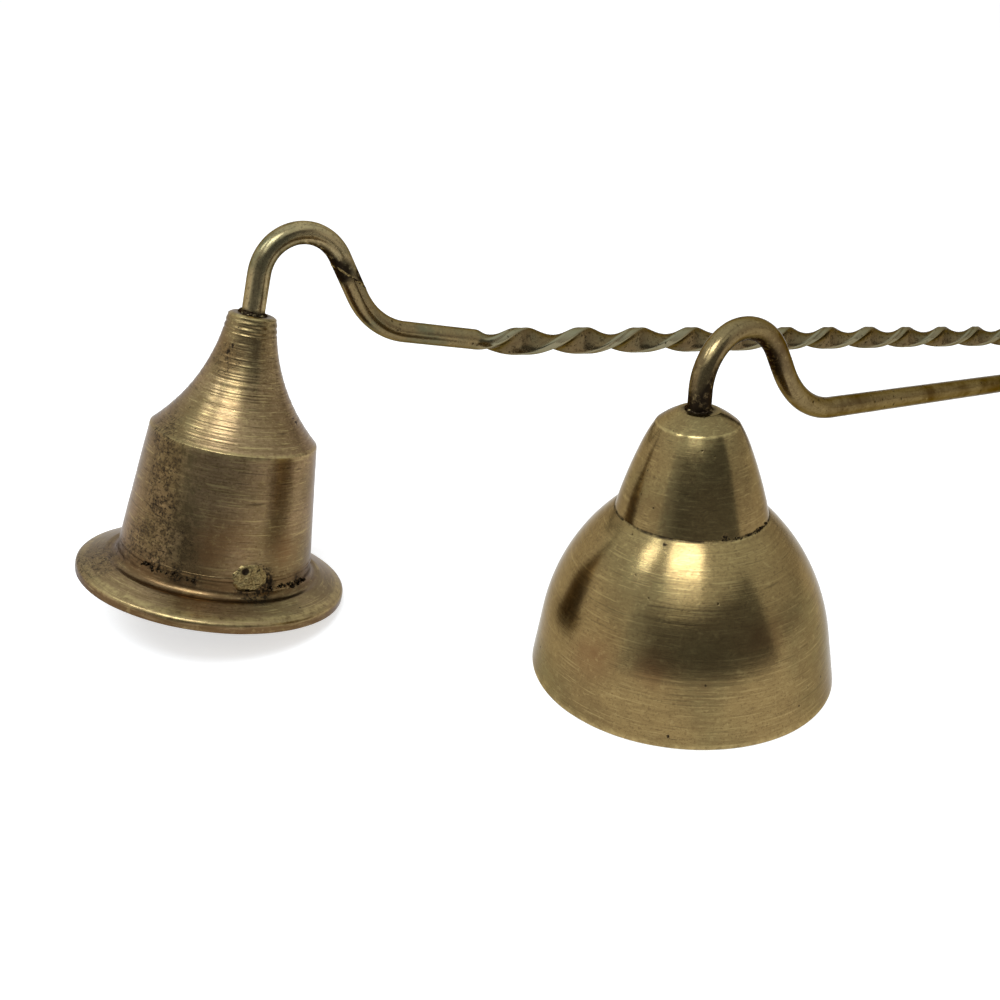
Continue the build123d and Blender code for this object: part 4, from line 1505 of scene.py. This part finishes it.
class SNUFFER_OT_hat_wire(bpy.types.Operator):
    """Bend the hook, braze its scarf joint and twist the handle"""

    bl_idname = "snuffer.hat_wire"
    bl_label = "Hook and twisted handle"

    def execute(self, context):
        hat, shared, finish = settings().hat, settings().shared, settings().finish
        shape = HatShape(hat)
        hook, handle, twist_start, twist_length = hat_trails(hat, shared)
        wire_radius = hat.wire / 2
        leg = Vector((math.cos(-hat.leg_angle), math.sin(-hat.leg_angle)))
        scarf_middle = handle.points[0] + leg * hat.leg_length / 2
        facing = -hat.leg_angle - (math.pi / 2 - hat.scarf_angle)
        turn = HAT_PLACE.to_3x3()
        scarf_normal = turn @ Vector((math.cos(facing), 0.0, math.sin(facing)))
        scarf_point = HAT_PLACE @ Vector((scarf_middle.x, 0.0, scarf_middle.y))
        entry = HAT_PLACE @ Vector((0.0, 0.0, shape.top_height))
        aside = turn @ Vector((leg.y, 0.0, -leg.x))
        down_leg = turn @ Vector((leg.x, 0.0, leg.y))
        towards = -(turn @ Vector((0.0, 1.0, 0.0)))
        inner = scarf_point + aside * 1.2 * MM - down_leg * 1.6 * MM + towards * 0.8 * MM
        outer = scarf_point - aside * 1.4 * MM + down_leg * 0.3 * MM + towards * 0.6 * MM
        arch = HAT_PLACE @ Vector((hat.hook_radius, 0.0, shape.top_height + hat.neck_rise))
        hollow = (hat.hook_radius - wire_radius) / MM
        dark_spots = [
            (tuple(entry / MM), 1.5, 1.85),
            (tuple(inner / MM), 1.1, 2.7),
            (tuple(outer / MM), 0.9, 1.9),
            (tuple(arch / MM), hollow + 0.1, hollow + 1.3),
        ]
        material = Finishes.get(
            "drawn_hat_wire", drawn_brass, finish, finish.wire_bare, finish.wire_green, dark_spots
        )
        # A paler copy of the wire's finish for the hook: painted highlight.
        hook_highlit_finish = Finishes.get(
            "drawn_hook_wire", drawn_brass, finish, finish.hook_highlit, finish.wire_green, dark_spots
        )
        recipe = wire_recipe()
        sideways = tuple(turn @ Vector((0.0, 1.0, 0.0)))
        round_wire = dict(wire_radius=wire_radius, sideways=sideways, unevenness=0.05 * MM)
        hook_piece = recipe.run(
            hook.curve("hook_path", HAT_PLACE),
            "hat_hook_wire",
            sides=36,
            material=hook_highlit_finish,
            **round_wire,
            **untwisted(wire_radius),
        )
        handle_piece = recipe.run(
            handle.curve("handle_path", HAT_PLACE),
            "hat_handle_twisted",
            sides=40,
            flat_half_width=hat.flat_width / 2,
            flat_half_thickness=hat.flat_thickness / 2,
            flatten_length=hat.flatten_length,
            twist_start=twist_start - hat.twist_lead,
            twist_length=twist_length + hat.twist_lead,
            half_turn=hat.half_turn,
            phase=hat.twist_phase + math.pi * hat.twist_lead / hat.half_turn,
            material=material,
            **round_wire,
        )
        film = scarf_normal * hat.scarf_film / 2
        reach = hat.leg_length * 0.75
        cut_off(hook_piece, scarf_point - film, scarf_normal, reach)
        cut_off(handle_piece, scarf_point + film, -scarf_normal, reach)
        wires = ((hook_piece, hook_highlit_finish, "hat_hook"), (handle_piece, material, "hat_handle"))
        for piece, finished, node in wires:
            mend(piece, math.radians(50))
            settle(piece, HAT_BODY, "hat_wire_brass", finished, node)
        self.braze_scarf(scarf_point, scarf_normal, sideways, down_leg, wire_radius)
        return {"FINISHED"}

    def braze_scarf(self, middle, normal, sideways, wire_line, wire_radius):
        """The film of braze in the scarf joint, with a ragged lip where it was squeezed out."""
        hat, finish = settings().hat, settings().finish
        across = Vector(sideways)
        downward = normal.cross(across).normalized()
        long_radius = wire_radius / math.sin(hat.scarf_angle)
        through = wire_line * (hat.scarf_film / wire_line.dot(normal))
        spokes = 96
        layers = ((-0.5, 0.985), (-0.25, 1.0), (0.0, 1.005), (0.25, 1.0), (0.5, 0.985))
        points = []
        for depth, swell in layers:
            for spoke in range(spokes):
                facing = math.tau * spoke / spokes
                spot = Vector((math.cos(facing) * 2.0, math.sin(facing) * 2.0, depth))
                out = swell + 0.012 * noise.noise(spot * 1.7)
                flat = across * math.cos(facing) * wire_radius + downward * math.sin(facing) * long_radius
                points.append(middle + flat * out + through * depth)
        faces = grid_faces(len(layers), spokes)
        faces.append(list(range(spokes)))
        faces.append([(len(layers) - 1) * spokes + spoke for spoke in range(spokes)])
        film = new_piece("scarf_braze_film", points, faces)
        mend(film, math.radians(50))
        material = Finishes.get(
            "burnt_braze", crusted_metal, finish, finish.braze, grime=0.6, grain=0.06 * MM
        )
        settle(film, HAT_BODY, "braze", material, "scarf_braze")


def seam_path(name, radius, height, start, end, place):
    """Part of a seam's circle as a curve."""
    count = 60
    spots = []
    for step in range(count + 1):
        around = start + (end - start) * step / count
        spots.append(place @ Vector((radius * math.cos(around), radius * math.sin(around), height)))
    return path_through(name, spots)


class SNUFFER_OT_grime(bpy.types.Operator):
    """Leave burnt flux and dirt along the seams"""

    bl_idname = "snuffer.grime"
    bl_label = "Seam grime"

    def execute(self, context):
        bell, hat, finish = settings().bell, settings().hat, settings().finish
        bell_shape, hat_shape = BellShape(bell), HatShape(hat)
        material = Finishes.get(
            "burnt_flux", crusted_metal, finish, finish.tarnish_and_shade, grime=1.0, grain=0.03 * MM
        )
        recipe = grime_recipe()
        mid, low = hat_shape.foot[1] - 0.5 * MM, hat_shape.foot[1] - 1.4 * MM
        on_bell = ("solder", BELL_BODY, BELL_PLACE)
        on_hat = ("braze", HAT_BODY, HAT_PLACE)
        left, right = (hat_shape.outside(mid), mid), (hat_shape.outside(low), low)
        stretches = (
            ("bell_seam_grime", on_bell, bell_shape.seat, (-118, -68), 60, 0.24, 3),
            ("hat_seam_grime_left", on_hat, left, (-157, -126), 80, 0.42, 7),
            ("hat_seam_grime_right", on_hat, right, (-84, -47), 90, 0.45, 12),
        )
        for name, (slot, body, place), ring, degrees, grains, largest, seed in stretches:
            start, end = map(math.radians, degrees)
            piece = recipe.run(
                seam_path(name + "_path", *ring, start, end, place),
                name,
                grains=grains,
                smallest=0.05 * MM,
                largest=largest * MM,
                scatter=largest * 0.8 * MM,
                seed=seed,
                material=material,
            )
            piece.data.shade_smooth()
            settle(piece, body, slot, material)
        return {"FINISHED"}


class SNUFFER_OT_stage(bpy.types.Operator):
    """Set the floor, the soft window, the dark flag with its painted floor shadow, and the camera"""

    bl_idname = "snuffer.stage"
    bl_label = "Stage"

    def execute(self, context):
        stage = settings().stage
        scene = context.scene
        scene.view_settings.view_transform = "Standard"
        heading, pitch = stage.camera_heading, stage.camera_pitch
        level = Vector((math.sin(heading), math.cos(heading), 0.0))
        forward = level * math.cos(pitch) - Vector((0.0, 0.0, math.sin(pitch)))
        lens = bpy.data.cameras.new("camera")
        lens.lens = stage.lens
        lens.sensor_width = 36.0
        lens.clip_start = 0.005
        camera = linked("camera", lens)
        camera.location = stage.camera_place
        camera.rotation_euler = forward.to_track_quat("-Z", "Y").to_euler()
        scene.camera = camera
        self.floor(stage)
        self.world(stage)
        self.window(stage, "window", azimuth=-13.0, elevation=62.0, distance=0.62, extent=(0.30, 0.19))
        self.window(stage, "side_window", azimuth=-70.0, elevation=53.0, distance=0.62, extent=(0.11, 0.16))
        sill = dict(azimuth=-13.0, elevation=46.0, distance=0.66, extent=(0.34, 0.16))
        self.window(stage, "sill", share_of_light=0.16, **sill)
        self.flag(stage)
        return {"FINISHED"}

    def direction(self, stage, azimuth, elevation):
        """A direction from the object, told from the camera's side towards its right, and up."""
        turn = math.radians(azimuth) - stage.camera_heading
        level = Vector((math.sin(turn), -math.cos(turn), 0.0))
        rise = math.radians(elevation)
        return level * math.cos(rise) + Vector((0.0, 0.0, math.sin(rise)))

    def seen(self, graph):
        """1 for rays from the camera and for those that metal or glass sends on, else 0."""
        straight = graph.add("ShaderNodeLightPath", {}, {}, "Is Camera Ray")
        passed = straight.out("Is Glossy Ray").function("MAXIMUM", straight.out("Is Transmission Ray"))
        return straight.function("MAXIMUM", passed)

    def floor(self, stage):
        reach = 30.0
        corners = [(-reach, -reach), (reach, -reach), (reach, reach), (-reach, reach)]
        floor = new_piece("floor", [(x, y, -0.05 * MM) for x, y in corners], [(0, 1, 2, 3)])
        material = node_material("pale_floor")
        graph = Graph(material.node_tree)
        pale = graph.add("ShaderNodeBsdfDiffuse", {}, {"Color": rgba((stage.floor_tone,) * 3)})
        glow = graph.add("ShaderNodeEmission", {}, {"Strength": self.seen(graph) * stage.floor_glow})
        both = graph.add("ShaderNodeAddShader", {}, {0: pale, 1: glow})
        graph.add("ShaderNodeOutputMaterial", {}, {"Surface": both})
        floor.data.materials.append(material)

    def world(self, stage):
        """White all round, cooler overhead and dimmer to the right in what the brass mirrors."""
        world = bpy.data.worlds.new("studio")
        bpy.context.scene.world = world
        world.use_nodes = True
        graph = Graph(world.node_tree)
        mirrored = graph.add("ShaderNodeLightPath", {}, {}, "Is Glossy Ray")
        heading = graph.add("ShaderNodeTexCoord", {}, {}, "Generated")
        right = (math.cos(stage.camera_heading), -math.sin(stage.camera_heading), 0.0)
        dot_product = {"operation": "DOT_PRODUCT"}
        sideways = graph.add("ShaderNodeVectorMath", dot_product, {0: heading, 1: right}, "Value")
        overhead = heading.parts()[2].rise(0.0, 0.8) * mirrored
        tint = graph.mix(overhead, (1.0, 1.0, 1.0, 1.0), rgba(stage.ceiling_colour))
        strength = stage.fill + self.seen(graph) * (1.0 - stage.fill)
        strength = strength + overhead * stage.ceiling_glow - mirrored * sideways * stage.side_fall
        light = graph.add("ShaderNodeBackground", {}, {"Color": tint, "Strength": strength})
        graph.add("ShaderNodeOutputWorld", {}, {"Surface": light})

    def window(self, stage, name, azimuth, elevation, distance, extent, share_of_light=1.0):
        """A soft lamp of that extent in metres, turned towards the object."""
        lamp = bpy.data.lights.new(name, "AREA")
        lamp.shape = "RECTANGLE"
        lamp.size, lamp.size_y = extent
        lamp.color = stage.window_colour
        lamp.energy = stage.window_strength * share_of_light * math.pi * extent[0] * extent[1]
        window = linked(name, lamp)
        towards = self.direction(stage, azimuth, elevation)
        window.location = towards * distance
        window.rotation_euler = (-towards).to_track_quat("-Z", "Y").to_euler()

    def flag(self, stage):
        """A dark flag that hangs behind the camera and lies on the floor before it, seen only in the brass:
        a glowing sheet, whose lying part is painted shadow on the floor.
        """
        distance, nearest = 0.75, 0.10
        left, span = -56.0, 120.0
        left_top, right_top = 30.0, 39.0
        soft_span, soft_rows = 26.0, 3
        off_floor = Vector((0.0, 0.0, 0.4 * MM))
        across, upward = 38, 16
        points, paleness = [], []
        for row in range(upward + 1):
            for column in range(across + 1):
                azimuth = left + span * column / across
                top = left_top + (right_top - left_top) * column / across
                rise = row / upward
                level = self.direction(stage, azimuth, 0.0)
                # The lying part is painted shadow on the floor before the camera, seen only in the brass.
                lying = level * (nearest + (distance - nearest) * (rise * 2) ** 2) + off_floor
                standing = self.direction(stage, azimuth, top * (2 * rise - 1)) * distance
                points.append(lying if rise <= 0.5 else standing)
                left_edge = min(1.0, (azimuth - left) / soft_span)
                near_edge = min(1.0, row / soft_rows)
                paleness.append(1.0 - left_edge * near_edge)
        faces = grid_faces(upward + 1, across + 1, columns_meet=False)
        flag = new_piece("flag_with_painted_floor_shadow", points, faces)
        flag.data.attributes.new("paleness", "FLOAT", "POINT").data.foreach_set("value", paleness)
        material = node_material("painted_floor_shadow_and_flag")
        graph = Graph(material.node_tree)
        faded = graph.add("ShaderNodeAttribute", {"attribute_name": "paleness"}, {}, "Fac")
        glow = stage.flag_tone + faded * (1.0 - stage.flag_tone)
        # A glowing sheet, no lamp: its dim glow paints the flag and the floor shadow in the brass.
        sheet_glow = graph.add("ShaderNodeEmission", {}, {"Color": (0.85, 0.93, 1.0, 1.0), "Strength": glow})
        graph.add("ShaderNodeOutputMaterial", {}, {"Surface": sheet_glow})
        flag.data.materials.append(material)
        flag.visible_camera = False
        flag.visible_diffuse = False
        flag.visible_shadow = False


class SNUFFER_PT_pieces(bpy.types.Panel):
    """Lists the pieces in the order in which they are made"""

    bl_idname = "SNUFFER_PT_pieces"
    bl_label = "Candle snuffers"
    bl_space_type = "VIEW_3D"
    bl_region_type = "UI"
    bl_category = "Snuffers"

    def draw(self, context):
        for operator in PIECES:
            self.layout.operator(operator.bl_idname)


PIECES = (
    SNUFFER_OT_bell_cup,
    SNUFFER_OT_bell_cap,
    SNUFFER_OT_bell_handle,
    SNUFFER_OT_hat_cup,
    SNUFFER_OT_hat_brim,
    SNUFFER_OT_braze,
    SNUFFER_OT_hat_wire,
    SNUFFER_OT_solder,
    SNUFFER_OT_grime,
    SNUFFER_OT_stage,
)
GROUPS = (BellSizes, HatSizes, SharedSizes, BrassFinish, StageSettings, SnufferSettings)


def register():
    for group in (*GROUPS, *PIECES, SNUFFER_PT_pieces):
        bpy.utils.register_class(group)
    bpy.types.Scene.snuffers = PointerProperty(type=SnufferSettings)


def unregister():
    del bpy.types.Scene.snuffers
    for group in reversed((*GROUPS, *PIECES, SNUFFER_PT_pieces)):
        bpy.utils.unregister_class(group)


def main():
    register()
    for operator in PIECES:
        group, name = operator.bl_idname.split(".")
        getattr(getattr(bpy.ops, group), name)()


if __name__ == "__main__":
    main()
